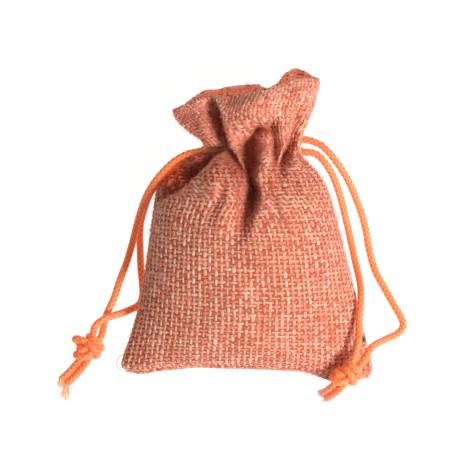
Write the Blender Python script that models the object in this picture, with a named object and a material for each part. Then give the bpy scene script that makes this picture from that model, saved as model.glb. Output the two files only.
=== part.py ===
"""A small drawstring sack of coarse two-tone cloth, filled, drawn shut and lying on its back.

The sack is one thin shell. Its mid-surface is a stack of closed loops, one for each height in the
cloth: 0 at the bottom fold, about 70 where the cord draws it in, RIM at the top edge. A short table
gives the size and place of the loops, and a second one the folds that the drawn neck makes.
+X is to the right of the sack, +Y runs from its bottom to its mouth, +Z is up from the surface.
"""
import math

import bmesh
import bpy
import numpy as np
from mathutils import Vector

MM = 0.001

# Driving sizes, in millimetres. ORIGIN_SHIFT is where the part's origin lies in the layout that
# all the tables are in, which has its own origin near the middle of the bottom fold.
RIM = 90.0
CLOTH_THICK = 1.0
CORD_DIAMETER = 2.0
ORIGIN_SHIFT = (0.06, 41.9)

COLUMNS_PER_SIDE = 44
BASE_SAMPLES = 361
CURVE_SUBSTEPS = 12

# Each row is one loop of the cloth. left and right are its side limits in X; the four y columns are
# where it passes the left seam, the front, the right seam and the back; z_left, z_right and z_mid are
# the heights of its seams and of its middle line; half is half its depth in the middle; crown and
# seat are how full the front and the back are (1 a lens, 2 an ellipse, more is boxier).
LOOP_COLUMNS = ("cloth", "left", "right", "y_left", "y_front", "y_right", "y_back",
                "z_left", "z_right", "z_mid", "half", "crown", "seat")
LOOPS = (
    (0.0, -32.9, 33.6, 2.5, 3.9, 0.9, 3.9, 3.8, 3.8, 7.8, 0.95, 6.0, 6.0),
    (2.6, -34.2, 34.3, 3.9, 4.9, 2.7, 4.8, 3.8, 3.8, 8.2, 3.8, 1.8, 1.9),
    (5.4, -33.7, 34.1, 6.2, 6.7, 5.0, 6.4, 3.9, 3.9, 8.7, 6.1, 1.25, 1.4),
    (12.0, -31.5, 32.5, 12.4, 11.4, 11.2, 11.8, 4.8, 4.8, 9.6, 9.2, 1.4, 1.7),
    (20.0, -29.2, 30.6, 20.6, 18.6, 19.2, 19.3, 6.6, 6.6, 11.3, 11.1, 1.65, 2.1),
    (30.0, -27.4, 28.2, 30.4, 28.2, 29.0, 29.0, 8.8, 8.8, 12.9, 12.5, 1.9, 2.4),
    (40.0, -26.0, 25.6, 40.2, 38.0, 38.6, 38.6, 10.0, 10.0, 13.5, 13.1, 2.1, 2.6),
    (48.0, -25.0, 23.6, 47.6, 45.9, 46.4, 46.3, 10.2, 10.2, 13.4, 13.0, 2.1, 2.6),
    (54.0, -22.6, 21.8, 52.4, 51.6, 52.0, 51.8, 10.2, 10.2, 12.8, 12.3, 2.0, 2.5),
    (59.0, -19.0, 19.2, 56.2, 56.2, 56.3, 56.2, 10.2, 10.2, 12.1, 11.2, 2.0, 2.4),
    (64.0, -14.8, 16.3, 59.6, 60.2, 59.4, 59.8, 10.4, 10.4, 11.4, 9.4, 2.0, 2.2),
    (67.0, -12.3, 14.9, 61.4, 62.2, 61.2, 61.8, 10.8, 10.8, 11.2, 8.3, 2.0, 2.0),
    (70.0, -10.8, 14.5, 63.2, 64.0, 63.4, 63.6, 10.6, 11.4, 11.1, 7.8, 2.0, 2.0),
    (73.0, -12.0, 15.0, 65.0, 66.8, 66.2, 66.4, 10.1, 12.0, 11.4, 8.3, 2.0, 2.0),
    (77.0, -15.2, 16.4, 67.3, 70.4, 69.8, 70.2, 9.8, 12.9, 11.7, 9.3, 2.0, 2.1),
    (82.0, -18.1, 18.1, 69.9, 73.6, 74.4, 74.3, 9.6, 14.8, 12.1, 9.9, 1.9, 2.2),
    (86.0, -19.3, 19.1, 71.6, 75.5, 77.8, 76.9, 9.3, 16.1, 12.2, 10.0, 1.8, 2.3),
    (90.0, -19.9, 19.7, 72.9, 77.3, 81.0, 79.3, 9.1, 16.3, 12.0, 10.0, 1.8, 2.3),
)

# The heights in the cloth of the solid's rows, closest where the folds are.
ROW_HEIGHTS = (0.0, 2.4, 5.0, 8.2, 12.0, 16.4, 21.0, 26.0, 31.0, 36.0, 41.0, 45.0, 48.5, 51.5, 54.2,
               56.6, 58.8, 61.0, 63.2, 65.2, 67.0, 68.6, 70.2, 72.0, 74.2, 76.8, 79.6, 82.6, 86.2,
               90.0)

# Each entry is one fold: how far it reaches to the left and right of its valley, how far the valley
# slips under the cloth to its right for each millimetre of depth, and its stations. A station is a
# height in the cloth, the valley's X and its depth there.
FRONT_FOLDS = {
    "lobe_edge": {"reach": (4.6, 2.8), "slip": 0.60, "stations": (
        (46.0, 0.6, 0.0), (52.0, -1.0, 2.0), (58.0, -2.9, 3.8), (64.0, -5.0, 5.0), (70.0, -6.8, 5.2),
        (75.0, -8.0, 5.0), (80.0, -8.8, 4.6), (85.0, -9.4, 3.4), (90.0, -9.9, 1.6))},
    "shoulder": {"reach": (4.6, 3.2), "slip": 0.45, "stations": (
        (47.5, -24.4, 0.0), (50.0, -22.6, 2.0), (53.0, -19.6, 5.4), (56.0, -16.8, 8.0),
        (59.0, -14.3, 9.4), (62.5, -12.0, 8.8), (66.0, -10.2, 6.4), (70.0, -8.8, 3.6),
        (75.0, -8.6, 0.0))},
    "middle_crease": {"reach": (4.2, 2.8), "slip": 0.10, "stations": (
        (37.0, -2.8, 0.0), (41.0, -1.9, 1.4), (45.0, -0.6, 3.6), (49.0, 0.8, 6.4), (53.0, 1.5, 8.2),
        (57.5, 0.4, 8.2), (62.0, 1.2, 7.2), (67.0, 1.0, 5.8), (73.0, 1.6, 3.6), (77.0, 3.0, 0.0))},
    "small_pleat": {"reach": (2.2, 2.4), "slip": -0.10, "stations": (
        (55.0, 6.6, 0.0), (60.0, 7.2, 1.2), (65.0, 7.7, 3.0), (70.0, 7.9, 4.2), (74.0, 7.2, 3.4),
        (78.0, 6.6, 0.0))},
    "right_crease": {"reach": (2.6, 3.2), "slip": -0.30, "stations": (
        (51.0, 8.4, 0.0), (57.0, 9.2, 1.6), (62.0, 10.2, 3.8), (67.0, 11.4, 5.0), (72.0, 12.8, 4.2),
        (78.0, 13.8, 2.0), (84.0, 14.4, 0.0))},
    "right_shoulder": {"reach": (2.4, 2.2), "slip": -0.20, "stations": (
        (51.0, 21.4, 0.0), (55.0, 19.4, 1.0), (60.0, 16.6, 1.8), (65.0, 14.2, 1.6), (70.0, 12.8, 0.0))},
    "left_wrinkle": {"reach": (2.4, 2.4), "slip": 0.10, "stations": (
        (42.0, -11.0, 0.0), (48.0, -8.6, 0.5), (54.0, -6.6, 1.2), (60.0, -5.4, 0.6), (66.0, -4.6, 0.0))},
    "right_wrinkle": {"reach": (2.4, 2.2), "slip": -0.10, "stations": (
        (42.0, 10.2, 0.0), (48.0, 8.2, 0.6), (54.0, 6.2, 1.3), (60.0, 5.0, 0.6), (66.0, 4.4, 0.0))},
    "far_wrinkle": {"reach": (2.6, 2.4), "slip": -0.10, "stations": (
        (43.0, 18.0, 0.0), (49.0, 15.8, 0.5), (56.0, 12.8, 1.3), (62.0, 11.2, 0.6), (68.0, 10.6, 0.0))},
}
BACK_FOLDS = {
    "back_1": {"reach": (2.7, 2.7), "slip": 0.20, "stations": (
        (44.0, -17.0, 0.0), (56.0, -11.5, 1.4), (68.0, -7.6, 3.0), (80.0, -11.0, 2.6), (90.0, -13.0, 2.2))},
    "back_2": {"reach": (2.5, 2.5), "slip": -0.20, "stations": (
        (46.0, -8.0, 0.0), (57.0, -5.0, 1.5), (69.0, -3.0, 3.3), (80.0, -4.8, 2.4), (90.0, -6.0, 1.8))},
    "back_3": {"reach": (2.5, 2.5), "slip": 0.15, "stations": (
        (44.0, 1.6, 0.0), (56.0, 1.7, 1.4), (68.0, 1.8, 3.1), (80.0, 1.6, 2.7), (90.0, 1.4, 2.4))},
    "back_4": {"reach": (2.5, 2.5), "slip": -0.15, "stations": (
        (46.0, 10.0, 0.0), (57.0, 7.8, 1.5), (69.0, 6.6, 3.3), (80.0, 7.4, 2.4), (90.0, 8.0, 1.8))},
    "back_5": {"reach": (2.6, 2.6), "slip": -0.20, "stations": (
        (44.0, 19.0, 0.0), (56.0, 14.0, 1.4), (68.0, 11.2, 3.0), (80.0, 13.4, 2.5), (90.0, 15.0, 2.0))},
}

# Each row is one dent (or, with a negative depth, one swelling) of the front: its middle, its half
# sizes across and up the cloth, and its depth.
DENT_COLUMNS = ("name", "x", "cloth", "half_x", "half_cloth", "depth")
DENTS = (
    ("arch_over_pleat", 4.4, 74.6, 4.6, 2.6, 4.4),
    ("pleat_crown", 4.8, 64.5, 3.2, 8.5, -2.0),
    ("crease_mouth", 0.4, 52.5, 5.0, 5.5, 2.8),
    ("lobe_swell", 1.2, 81.0, 8.5, 11.0, -2.6),
    ("flap_swell", -8.0, 55.0, 7.0, 8.0, -1.4),
    ("right_panel_swell", 14.5, 84.0, 5.0, 8.0, -0.8),
    ("left_panel_fall", -18.5, 84.0, 5.5, 11.0, 1.6),
)

# Each row is one wave of the sack's edges: the sides it is on, its X, its lift and half its width,
# and the cloth heights where it is whole and where it has died away.
WAVE_COLUMNS = ("sides", "x", "lift", "half_width", "whole", "gone")
EDGE_WAVES = (
    ("front", -12.5, 1.5, 6.0, 90.0, 74.0),
    ("front", -6.0, -0.5, 4.0, 90.0, 74.0),
    ("front", 14.2, 1.0, 6.0, 90.0, 74.0),
    ("back", -5.0, 1.1, 10.0, 90.0, 74.0),
    ("back", 6.6, -1.6, 4.5, 90.0, 74.0),
    ("back", 13.4, 2.9, 6.6, 90.0, 74.0),
    ("both", -28.0, -0.7, 6.0, 0.0, 10.0),
    ("both", -13.0, 0.4, 8.0, 0.0, 6.0),
    ("both", 24.5, -1.9, 10.0, 0.0, 12.0),
)

# A fold fades out over SEAM_ROOM beside a seam. SHARPNESS is how crisply two folds meet. The solid
# takes these shares of the table's depths and slips, so that its thick wall stays clear of itself
# and its mouth stays open.
SEAM_ROOM = 3.0
SHARPNESS = 4.0
DEPTH_SHARE = 0.76
SLIP_SHARE = 0.70

# The filling's shallow lumps, and the cloth heights between which they rise and die away.
LUMP_HEIGHT = 0.30
LUMP_PERIOD_X = 17.0
LUMP_PERIOD_CLOTH = 23.0
LUMP_RISE = (6.0, 20.0)
LUMP_FALL = (54.0, 66.0)

# The four runs of cord, by points chosen along each centre line from the neck to its knot.
CORD_ROUTES = {
    "cord_left_outer": (
        (-12.6, 63.5, 12.8), (-15.8, 61.7, 13.6), (-19.0, 59.8, 13.8), (-21.9, 57.3, 13.3),
        (-24.7, 54.1, 12.1), (-26.8, 50.9, 10.3), (-28.4, 47.2, 8.0), (-29.5, 43.9, 5.8),
        (-30.4, 40.6, 3.9), (-31.6, 36.2, 1.9), (-33.0, 31.6, 1.1), (-34.7, 27.2, 1.05),
        (-36.4, 22.0, 1.05), (-37.9, 18.8, 1.05), (-38.8, 16.6, 1.1), (-39.1, 14.6, 2.1),
    ),
    "cord_left_inner": (
        (-13.1, 63.4, 10.2), (-15.9, 61.3, 10.8), (-18.8, 59.3, 11.0), (-21.8, 56.9, 10.3),
        (-24.5, 53.7, 8.7), (-26.5, 50.4, 6.6), (-27.9, 46.8, 4.2), (-28.9, 43.4, 2.2),
        (-29.3, 40.0, 1.1), (-29.2, 36.0, 1.05), (-29.0, 30.5, 1.05), (-28.6, 26.1, 1.05),
        (-28.5, 22.9, 1.05), (-29.4, 20.4, 1.1), (-31.8, 19.0, 1.6), (-34.6, 17.9, 2.4),
        (-37.2, 17.1, 3.4), (-39.7, 16.0, 4.0), (-41.5, 14.4, 4.0),
    ),
    "cord_right_outer": (
        (16.6, 65.2, 12.2), (18.6, 64.6, 12.6), (20.9, 63.3, 12.8), (23.8, 60.1, 12.4),
        (26.8, 55.8, 10.6), (28.7, 52.2, 8.4), (30.1, 49.0, 6.0), (31.7, 44.9, 3.2),
        (32.8, 40.8, 1.6), (33.6, 36.2, 1.1), (34.7, 31.6, 1.05), (36.0, 28.3, 1.05),
        (37.7, 25.3, 1.05), (39.3, 22.4, 1.05), (40.9, 19.6, 1.05), (42.4, 17.0, 1.05),
        (43.1, 14.9, 1.1), (42.4, 13.1, 1.4), (40.9, 12.0, 2.0), (38.9, 11.2, 3.4),
        (36.9, 10.4, 5.8), (35.1, 9.6, 8.6), (33.5, 8.3, 11.4),
    ),
    "cord_right_inner": (
        (16.8, 61.9, 10.2), (18.4, 61.7, 10.4), (20.3, 60.4, 10.4), (22.3, 57.8, 9.8),
        (24.0, 54.6, 8.4), (25.3, 51.0, 6.6), (26.4, 47.2, 4.8), (27.4, 43.2, 3.6),
        (28.3, 39.4, 3.0), (29.0, 36.0, 3.2), (29.8, 32.2, 4.2), (30.6, 28.6, 6.0),
        (31.1, 25.4, 8.4), (31.1, 22.2, 10.4), (30.9, 19.4, 11.3), (30.6, 15.8, 11.8),
        (30.4, 12.8, 12.6), (30.3, 10.2, 13.3),
    ),
}

# A doubled overhand knot, by the middle line of its two strands: how far along the knot's axis
# (towards the neck), the turn about that axis in degrees (90 is up) and the distance out from it.
KNOT_COLUMNS = ("along", "turn", "out", "spread")
KNOT_TURNS = (
    (4.4, 90.0, 0.50, 2.40), (2.8, 90.0, 0.95, 2.15), (1.0, 90.0, 0.95, 1.90), (-0.7, 95.0, 1.05, 1.90),
    (-2.0, 115.0, 1.8, 1.90), (-2.3, 160.0, 2.5, 1.90), (-1.7, 215.0, 2.75, 1.90), (-0.9, 270.0, 2.75, 1.90),
    (0.0, 325.0, 2.75, 1.90), (0.9, 380.0, 2.75, 1.90), (1.7, 430.0, 2.75, 1.90), (2.0, 480.0, 2.4, 1.90),
    (1.8, 540.0, 1.7, 1.90), (0.8, 605.0, 1.0, 1.90), (-1.0, 630.0, 0.95, 1.90), (-2.8, 630.0, 0.95, 2.00),
)
TAIL_SPREAD = 1.92
STRAND_DIAMETER = 1.95
CORE_REACH = (2.2, 1.9, 1.9)

# Each entry is one knot: its middle, the direction of its axis towards the neck, and its free tails
# as distances along the axis, down and to the side.
KNOTS = {
    "knot_left": {
        "middle": (-42.9, 8.3, 3.8),
        "axis": (0.47, 0.88, 0.0),
        "tail": ((-4.8, 0.7, -0.2), (-6.8, 1.5, -0.6), (-9.0, 1.75, -1.2), (-11.4, 1.8, -2.0)),
    },
    "knot_right": {
        "middle": (27.3, 1.6, 12.6),
        "axis": (0.62, 0.76, 0.08),
        "tail": ((-5.0, 1.2, 0.0), (-6.5, 3.2, -0.2), (-7.7, 5.7, -0.4), (-8.5, 8.2, -0.6)),
    },
}
CORD_ENDS = {
    "cord_left_outer": ("knot_left", 1.0),
    "cord_left_inner": ("knot_left", -1.0),
    "cord_right_outer": ("knot_right", 1.0),
    "cord_right_inner": ("knot_right", -1.0),
}

# A cord stops KNOT_GAP short of its knot's strand, and is straight over its last LEAD_IN.
KNOT_GAP = 0.75
CORD_STEP = 2.4
LEAD_IN = 1.0
STRAND_STEP = 0.8
KNOT_VOXEL = 0.42
KNOT_KEEP = 0.28

SACK_COLOUR = (0.62, 0.20, 0.10, 1.0)
SACK_ROUGHNESS = 0.9
CORD_COLOUR = (0.90, 0.17, 0.03, 1.0)
CORD_ROUGHNESS = 0.45


def clear_scene():
    """Remove the objects that the scene starts with."""
    for scene_object in list(bpy.data.objects):
        bpy.data.objects.remove(scene_object, do_unlink=True)


def make_material(name, colour, roughness):
    """Return a Principled material of one colour."""
    material = bpy.data.materials.new(name)
    material.use_nodes = True
    shader = material.node_tree.nodes["Principled BSDF"]
    shader.inputs["Base Color"].default_value = colour
    shader.inputs["Roughness"].default_value = roughness
    shader.inputs["Metallic"].default_value = 0.0
    return material


def smooth_read(knots, values, at):
    """Read a smooth curve through (knots, values) at the given place: a cubic without overshoot."""
    knots = np.asarray(knots, dtype=float)
    values = np.asarray(values, dtype=float)
    steps = np.diff(knots)
    rises = np.diff(values) / steps
    slopes = np.empty_like(values)
    slopes[0] = rises[0]
    slopes[-1] = rises[-1]
    flat = rises[:-1] * rises[1:] <= 0.0
    safe = np.where(flat, 1.0, rises[:-1] + rises[1:])
    slopes[1:-1] = np.where(flat, 0.0, 2.0 * rises[:-1] * rises[1:] / safe)
    cell = int(np.clip(np.searchsorted(knots, at) - 1, 0, len(steps) - 1))
    t = (at - knots[cell]) / steps[cell]
    start = (1.0 + 2.0 * t) * (1.0 - t) ** 2 * values[cell]
    end = t * t * (3.0 - 2.0 * t) * values[cell + 1]
    pull = steps[cell] * (t * (1.0 - t) ** 2 * slopes[cell] - t * t * (1.0 - t) * slopes[cell + 1])
    return start + end + pull


def loop_at(cloth):
    """Return the loop's named sizes at one height in the cloth."""
    knots = [row[0] for row in LOOPS]
    return {
        name: smooth_read(knots, [row[index] for row in LOOPS], cloth)
        for index, name in enumerate(LOOP_COLUMNS)
    }


def bump(distance, *reach):
    """Return a round bump, 1 in its middle and 0 beyond its reach, which may differ left and right."""
    reach = np.where(distance < 0.0, reach[0], reach[-1])
    return 0.5 + 0.5 * np.cos(math.pi * np.clip(np.abs(distance) / reach, 0.0, 1.0))


def ease(value, low, high):
    """Return 0 below low and 1 above high, with a soft step between."""
    t = np.clip((value - low) / (high - low), 0.0, 1.0)
    return t * t * (3.0 - 2.0 * t)


def fold_at(fold, cloth):
    """Return the X of a fold's valley and its depth at one height in the cloth."""
    heights, places, depths = zip(*fold["stations"])
    if not heights[0] < cloth <= heights[-1]:
        return 0.0, 0.0
    return smooth_read(heights, places, cloth), smooth_read(heights, depths, cloth)


def half_loop(cloth, front):
    """Return the points of one side of a loop, from its left seam to its right one."""
    size = loop_at(cloth)
    angle = np.linspace(math.pi, 0.0, BASE_SAMPLES)
    across = np.cos(angle)
    centre = 0.5 * (size["left"] + size["right"])
    reach = 0.5 * (size["right"] - size["left"])
    x = centre + reach * across
    arch = size["z_mid"] * (1.0 - across ** 2) + 0.5 * (size["z_left"] + size["z_right"]) * across ** 2
    arch = arch + 0.5 * (size["z_right"] - size["z_left"]) * across
    fullness = size["crown"] if front else size["seat"]
    rise = np.abs(np.sin(angle)) ** (2.0 / fullness)
    side = 1.0 if front else -1.0
    z = arch + side * size["half"] * rise
    turn = side * angle
    mean = 0.25 * (size["y_left"] + size["y_front"] + size["y_right"] + size["y_back"])
    y = mean + 0.5 * (size["y_right"] - size["y_left"]) * np.cos(turn)
    y = y + 0.5 * (size["y_front"] - size["y_back"]) * np.sin(turn)
    saddle = 0.25 * (size["y_left"] + size["y_right"] - size["y_front"] - size["y_back"])
    y = y + saddle * np.cos(2.0 * turn)

    along = np.concatenate(([0.0], np.cumsum(np.hypot(np.diff(x), np.diff(z)))))
    keep = ease(np.minimum(along, along[-1] - along), 0.0, SEAM_ROOM)
    depth = np.zeros_like(x)
    shift = np.zeros_like(x)
    for fold in (FRONT_FOLDS if front else BACK_FOLDS).values():
        place, deepest = fold_at(fold, cloth)
        shape = DEPTH_SHARE * deepest * keep * bump(along - np.interp(place, x, along), *fold["reach"])
        depth = (depth ** SHARPNESS + shape ** SHARPNESS) ** (1.0 / SHARPNESS)
        shift = shift + SLIP_SHARE * fold["slip"] * shape
    for row in DENTS if front else ():
        dent = dict(zip(DENT_COLUMNS, row))
        form = bump(x - dent["x"], dent["half_x"]) * bump(cloth - dent["cloth"], dent["half_cloth"])
        depth = depth + dent["depth"] * keep * form
    lump = np.sin(2.0 * math.pi * x / LUMP_PERIOD_X)
    lump = lump * math.cos(2.0 * math.pi * cloth / LUMP_PERIOD_CLOTH)
    lump_room = ease(cloth, *LUMP_RISE) * (1.0 - ease(cloth, *LUMP_FALL))
    depth = depth + LUMP_HEIGHT * lump_room * keep * lump
    for row in EDGE_WAVES:
        wave = dict(zip(WAVE_COLUMNS, row))
        if wave["sides"] in ("both", "front" if front else "back"):
            strength = 1.0 - ease(abs(cloth - wave["whole"]), 0.0, abs(wave["gone"] - wave["whole"]))
            y = y + wave["lift"] * strength * keep * bump(x - wave["x"], wave["half_width"])
    x = x + shift
    z = z - side * depth
    z = np.maximum(z, 0.5 * CLOTH_THICK)
    return np.column_stack((x, y, z))


def evenly(points, count):
    """Return count + 1 points, evenly spaced along a line of points."""
    steps = np.linalg.norm(np.diff(points, axis=0), axis=1)
    along = np.concatenate(([0.0], np.cumsum(steps)))
    places = np.linspace(0.0, along[-1], count + 1)
    return np.column_stack([np.interp(places, along, points[:, axis]) for axis in range(3)])


def cloth_loop(cloth):
    """Return one closed loop of the cloth: the front to the right seam, then the back."""
    front = evenly(half_loop(cloth, True), COLUMNS_PER_SIDE)
    back = evenly(half_loop(cloth, False), COLUMNS_PER_SIDE)
    return np.vstack((front, back[-2:0:-1]))


def to_world(point):
    """Turn millimetres of the layout into metres about the part's origin."""
    return Vector(((point[0] - ORIGIN_SHIFT[0]) * MM, (point[1] - ORIGIN_SHIFT[1]) * MM, point[2] * MM))


def new_object(name, mesh, material):
    """Put a mesh into the scene as a named object with its material."""
    made = bpy.data.objects.new(name, mesh)
    mesh.materials.append(material)
    bpy.context.scene.collection.objects.link(made)
    return made


def build_sack(material):
    """Build the cloth as one open-mouthed shell, closed along its bottom fold."""
    shape = bmesh.new()
    rows = [[shape.verts.new(to_world(point)) for point in cloth_loop(cloth)] for cloth in ROW_HEIGHTS]
    around = 2 * COLUMNS_PER_SIDE
    for below, above in zip(rows, rows[1:]):
        for index in range(around):
            following = (index + 1) % around
            shape.faces.new((below[index], below[following], above[following], above[index]))
    bottom = rows[0]
    for index in range(COLUMNS_PER_SIDE):
        corners = [bottom[index + 1], bottom[index], bottom[-index], bottom[-index - 1]]
        distinct = list(dict.fromkeys(corners))
        shape.faces.new(distinct)
    bmesh.ops.recalc_face_normals(shape, faces=shape.faces)
    mesh = bpy.data.meshes.new("sack")
    shape.to_mesh(mesh)
    shape.free()
    sack = new_object("sack", mesh, material)
    wall = sack.modifiers.new("cloth thickness", "SOLIDIFY")
    wall.thickness = CLOTH_THICK * MM
    wall.offset = 0.0
    wall.use_even_offset = True
    wall.use_quality_normals = True
    mesh.shade_smooth()
    return sack


def smooth_line(points, step):
    """Return points about one step apart on a smooth curve through the given ones."""
    points = [Vector(point) for point in points]
    ends = [2.0 * points[0] - points[1], 2.0 * points[-1] - points[-2]]
    padded = [ends[0]] + points + [ends[1]]
    fine = []
    for before, start, end, after in zip(padded, padded[1:], padded[2:], padded[3:]):
        for part in np.linspace(0.0, 1.0, CURVE_SUBSTEPS, endpoint=False):
            cubic = 2.0 * start + (end - before) * part
            cubic = cubic + (2.0 * before - 5.0 * start + 4.0 * end - after) * part ** 2
            cubic = cubic + (3.0 * start - before - 3.0 * end + after) * part ** 3
            fine.append(tuple(0.5 * cubic))
    fine.append(tuple(points[-1]))
    fine = np.array(fine)
    length = np.linalg.norm(np.diff(fine, axis=0), axis=1).sum()
    return evenly(fine, max(2, round(length / step)))


def knot_frame(knot):
    """Return the knot's middle, and its axis, side and up directions."""
    axis = Vector(knot["axis"]).normalized()
    side = axis.cross(Vector((0.0, 0.0, 1.0))).normalized()
    up = side.cross(axis)
    return Vector(knot["middle"]), axis, side, up


def strand_line(knot, sign):
    """Return the centre line of one of a knot's two strands, from the neck's side to its tail."""
    middle, axis, side, up = knot_frame(knot)
    centre = []
    outward = []
    spread = []
    for row in KNOT_TURNS:
        turn = dict(zip(KNOT_COLUMNS, row))
        angle = math.radians(turn["turn"])
        out = side * math.cos(angle) + up * math.sin(angle)
        centre.append(middle + axis * turn["along"] + out * turn["out"])
        outward.append(out)
        spread.append(turn["spread"])
    last_out = turn["out"]
    for along, drop, aside in knot["tail"]:
        centre.append(middle + axis * along - up * last_out - Vector((0.0, 0.0, drop)) + side * aside)
        outward.append(-up)
        spread.append(TAIL_SPREAD)
    points = []
    for index, (point, out, apart) in enumerate(zip(centre, outward, spread)):
        ahead = centre[min(index + 1, len(centre) - 1)]
        behind = centre[max(index - 1, 0)]
        across = out.cross(ahead - behind).normalized()
        points.append(point + across * sign * 0.5 * apart)
    return points


def make_cord(name, points, material):
    """Make one run of cord as a round tube with closed ends."""
    curve = bpy.data.curves.new(name, "CURVE")
    curve.dimensions = "3D"
    curve.bevel_depth = 0.5 * CORD_DIAMETER * MM
    curve.bevel_resolution = 2
    curve.use_fill_caps = True
    spline = curve.splines.new("POLY")
    spline.points.add(len(points) - 1)
    for target, point in zip(spline.points, points):
        target.co = (*to_world(point), 1.0)
    return new_object(name, curve, material)


def cord_route(name):
    """Return a cord's points, from the neck to just short of the stub that its knot holds."""
    knot_name, sign = CORD_ENDS[name]
    strand = strand_line(KNOTS[knot_name], sign)
    inward = (strand[1] - strand[0]).normalized()
    arrival = strand[0] - inward * KNOT_GAP
    straight = arrival - inward * LEAD_IN
    return smooth_line(list(CORD_ROUTES[name]) + [tuple(straight), tuple(arrival)], CORD_STEP)


def build_cords(material):
    """Build the four runs of cord."""
    for name in CORD_ROUTES:
        make_cord(name, cord_route(name), material)


def build_knot(name, knot, material):
    """Build a knot as one solid: its two strands and its core, fused by a remesh."""
    shape = bmesh.new()
    graph = bpy.context.evaluated_depsgraph_get()
    for sign in (-1.0, 1.0):
        line = smooth_line(strand_line(knot, sign), STRAND_STEP)
        strand = make_cord(name + "_strand", line, material)
        strand.data.bevel_depth = 0.5 * STRAND_DIAMETER * MM
        graph.update()
        tube = bpy.data.meshes.new_from_object(strand.evaluated_get(graph))
        shape.from_mesh(tube)
        bpy.data.objects.remove(strand, do_unlink=True)
    middle, axis, side, up = knot_frame(knot)
    core = bmesh.ops.create_icosphere(shape, subdivisions=3, radius=1.0)
    for vertex in core["verts"]:
        spot = Vector([value * reach for value, reach in zip(vertex.co, CORE_REACH)])
        vertex.co = to_world(middle + axis * spot.x + side * spot.y + up * spot.z)
    mesh = bpy.data.meshes.new(name)
    shape.to_mesh(mesh)
    shape.free()
    mesh.materials.clear()
    made = new_object(name, mesh, material)
    fuse = made.modifiers.new("fuse strands", "REMESH")
    fuse.mode = "VOXEL"
    fuse.voxel_size = KNOT_VOXEL * MM
    fuse.use_smooth_shade = True
    thin = made.modifiers.new("fewer faces", "DECIMATE")
    thin.ratio = KNOT_KEEP
    return made


def main():
    """Build every piece."""
    clear_scene()
    cloth = make_material("sack_cloth", SACK_COLOUR, SACK_ROUGHNESS)
    cord = make_material("cord_braid", CORD_COLOUR, CORD_ROUGHNESS)
    build_sack(cloth)
    build_cords(cord)
    for name, knot in KNOTS.items():
        build_knot(name, knot, cord)


main()
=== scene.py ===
# %% [markdown]
# # A small drawstring sack of two-tone imitation burlap
#
# The real object is a pouch about 90 mm long. One strip of coarse plain weave is folded over at the
# bottom, closed at both sides, filled, and drawn shut near its top by two loops of braided cord.
# It lies on its back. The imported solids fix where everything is; this script gives them their looks.

import math

import bpy
import numpy as np
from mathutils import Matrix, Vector


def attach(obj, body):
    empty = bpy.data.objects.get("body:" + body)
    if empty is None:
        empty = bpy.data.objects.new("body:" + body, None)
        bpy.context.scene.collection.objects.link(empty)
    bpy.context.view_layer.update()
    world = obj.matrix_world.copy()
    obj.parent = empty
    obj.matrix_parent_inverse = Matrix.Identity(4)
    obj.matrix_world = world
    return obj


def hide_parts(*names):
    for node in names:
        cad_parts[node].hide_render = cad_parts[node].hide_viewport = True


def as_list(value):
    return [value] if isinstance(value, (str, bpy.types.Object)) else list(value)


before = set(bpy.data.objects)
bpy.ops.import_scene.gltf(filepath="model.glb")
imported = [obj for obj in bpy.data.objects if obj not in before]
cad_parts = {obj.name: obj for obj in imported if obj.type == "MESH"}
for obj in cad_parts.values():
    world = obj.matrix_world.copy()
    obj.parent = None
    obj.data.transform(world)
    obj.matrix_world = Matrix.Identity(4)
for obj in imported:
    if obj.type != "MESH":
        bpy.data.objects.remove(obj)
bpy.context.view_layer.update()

# %% [markdown]
# ## Units and the layout
#
# All tables below are in millimetres, in the same layout as the solids: +X to the right of the sack,
# +Y from its bottom to its mouth, +Z up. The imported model's origin lies ORIGIN_SHIFT into it.

# %% Units
MM = 0.001
ORIGIN_SHIFT = np.array((0.06, 41.9, 0.0))


def to_world(points):
    """Turn millimetres of the layout into metres from the part's origin."""
    return (np.asarray(points, dtype=float) - ORIGIN_SHIFT) * MM


def show(name, data):
    """Put a camera, a lamp or a mesh into the scene as an object."""
    made = bpy.data.objects.new(name, data)
    bpy.context.scene.collection.objects.link(made)
    return made


# %% [markdown]
# ## Camera, floor and light
#
# A product photograph like this one is taken from far away with a long lens, so nothing looks
# stretched. The camera hangs straight over the sack, and its lens is worked out from the size that
# one pixel shows. One large soft lamp from the lower right gives the light, with a dim room around
# it. The floor is a white light table, which glows a little itself and so keeps the shadows faint.

# %% Camera
PHOTO_PIXELS = 470
PIXEL_SIZE = 0.272
ORIGIN_COLUMN = 246.5
ORIGIN_ROW = 380.0
CAMERA_HEIGHT = 900.0
FOCUS_HEIGHT = 10.0
SENSOR_WIDTH = 36.0
FARTHEST_SEEN = 10.0

camera_data = bpy.data.cameras.new("camera")
camera_data.sensor_width = SENSOR_WIDTH
camera_data.lens = SENSOR_WIDTH * (CAMERA_HEIGHT - FOCUS_HEIGHT) / (PHOTO_PIXELS * PIXEL_SIZE)
camera_data.clip_end = FARTHEST_SEEN
camera = show("camera", camera_data)
middle_x = (0.5 * PHOTO_PIXELS - ORIGIN_COLUMN) * PIXEL_SIZE
middle_y = (ORIGIN_ROW - 0.5 * PHOTO_PIXELS) * PIXEL_SIZE
camera.location = to_world((middle_x, middle_y, CAMERA_HEIGHT))
bpy.context.scene.camera = camera
bpy.context.scene.view_settings.view_transform = "Standard"
print("lens, mm:", round(camera_data.lens, 1))

# %% Light
ROOM = {"Color": (1.0, 0.91, 0.83, 1.0), "Strength": 0.20}
LAMPS = {
    "key": ((430, -280, 560), 250.0, 7.0, (1.0, 1.0, 1.0)),
    "fill": ((-120, 300, 800), 500.0, 0.8, (1.0, 0.93, 0.86)),
}

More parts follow.
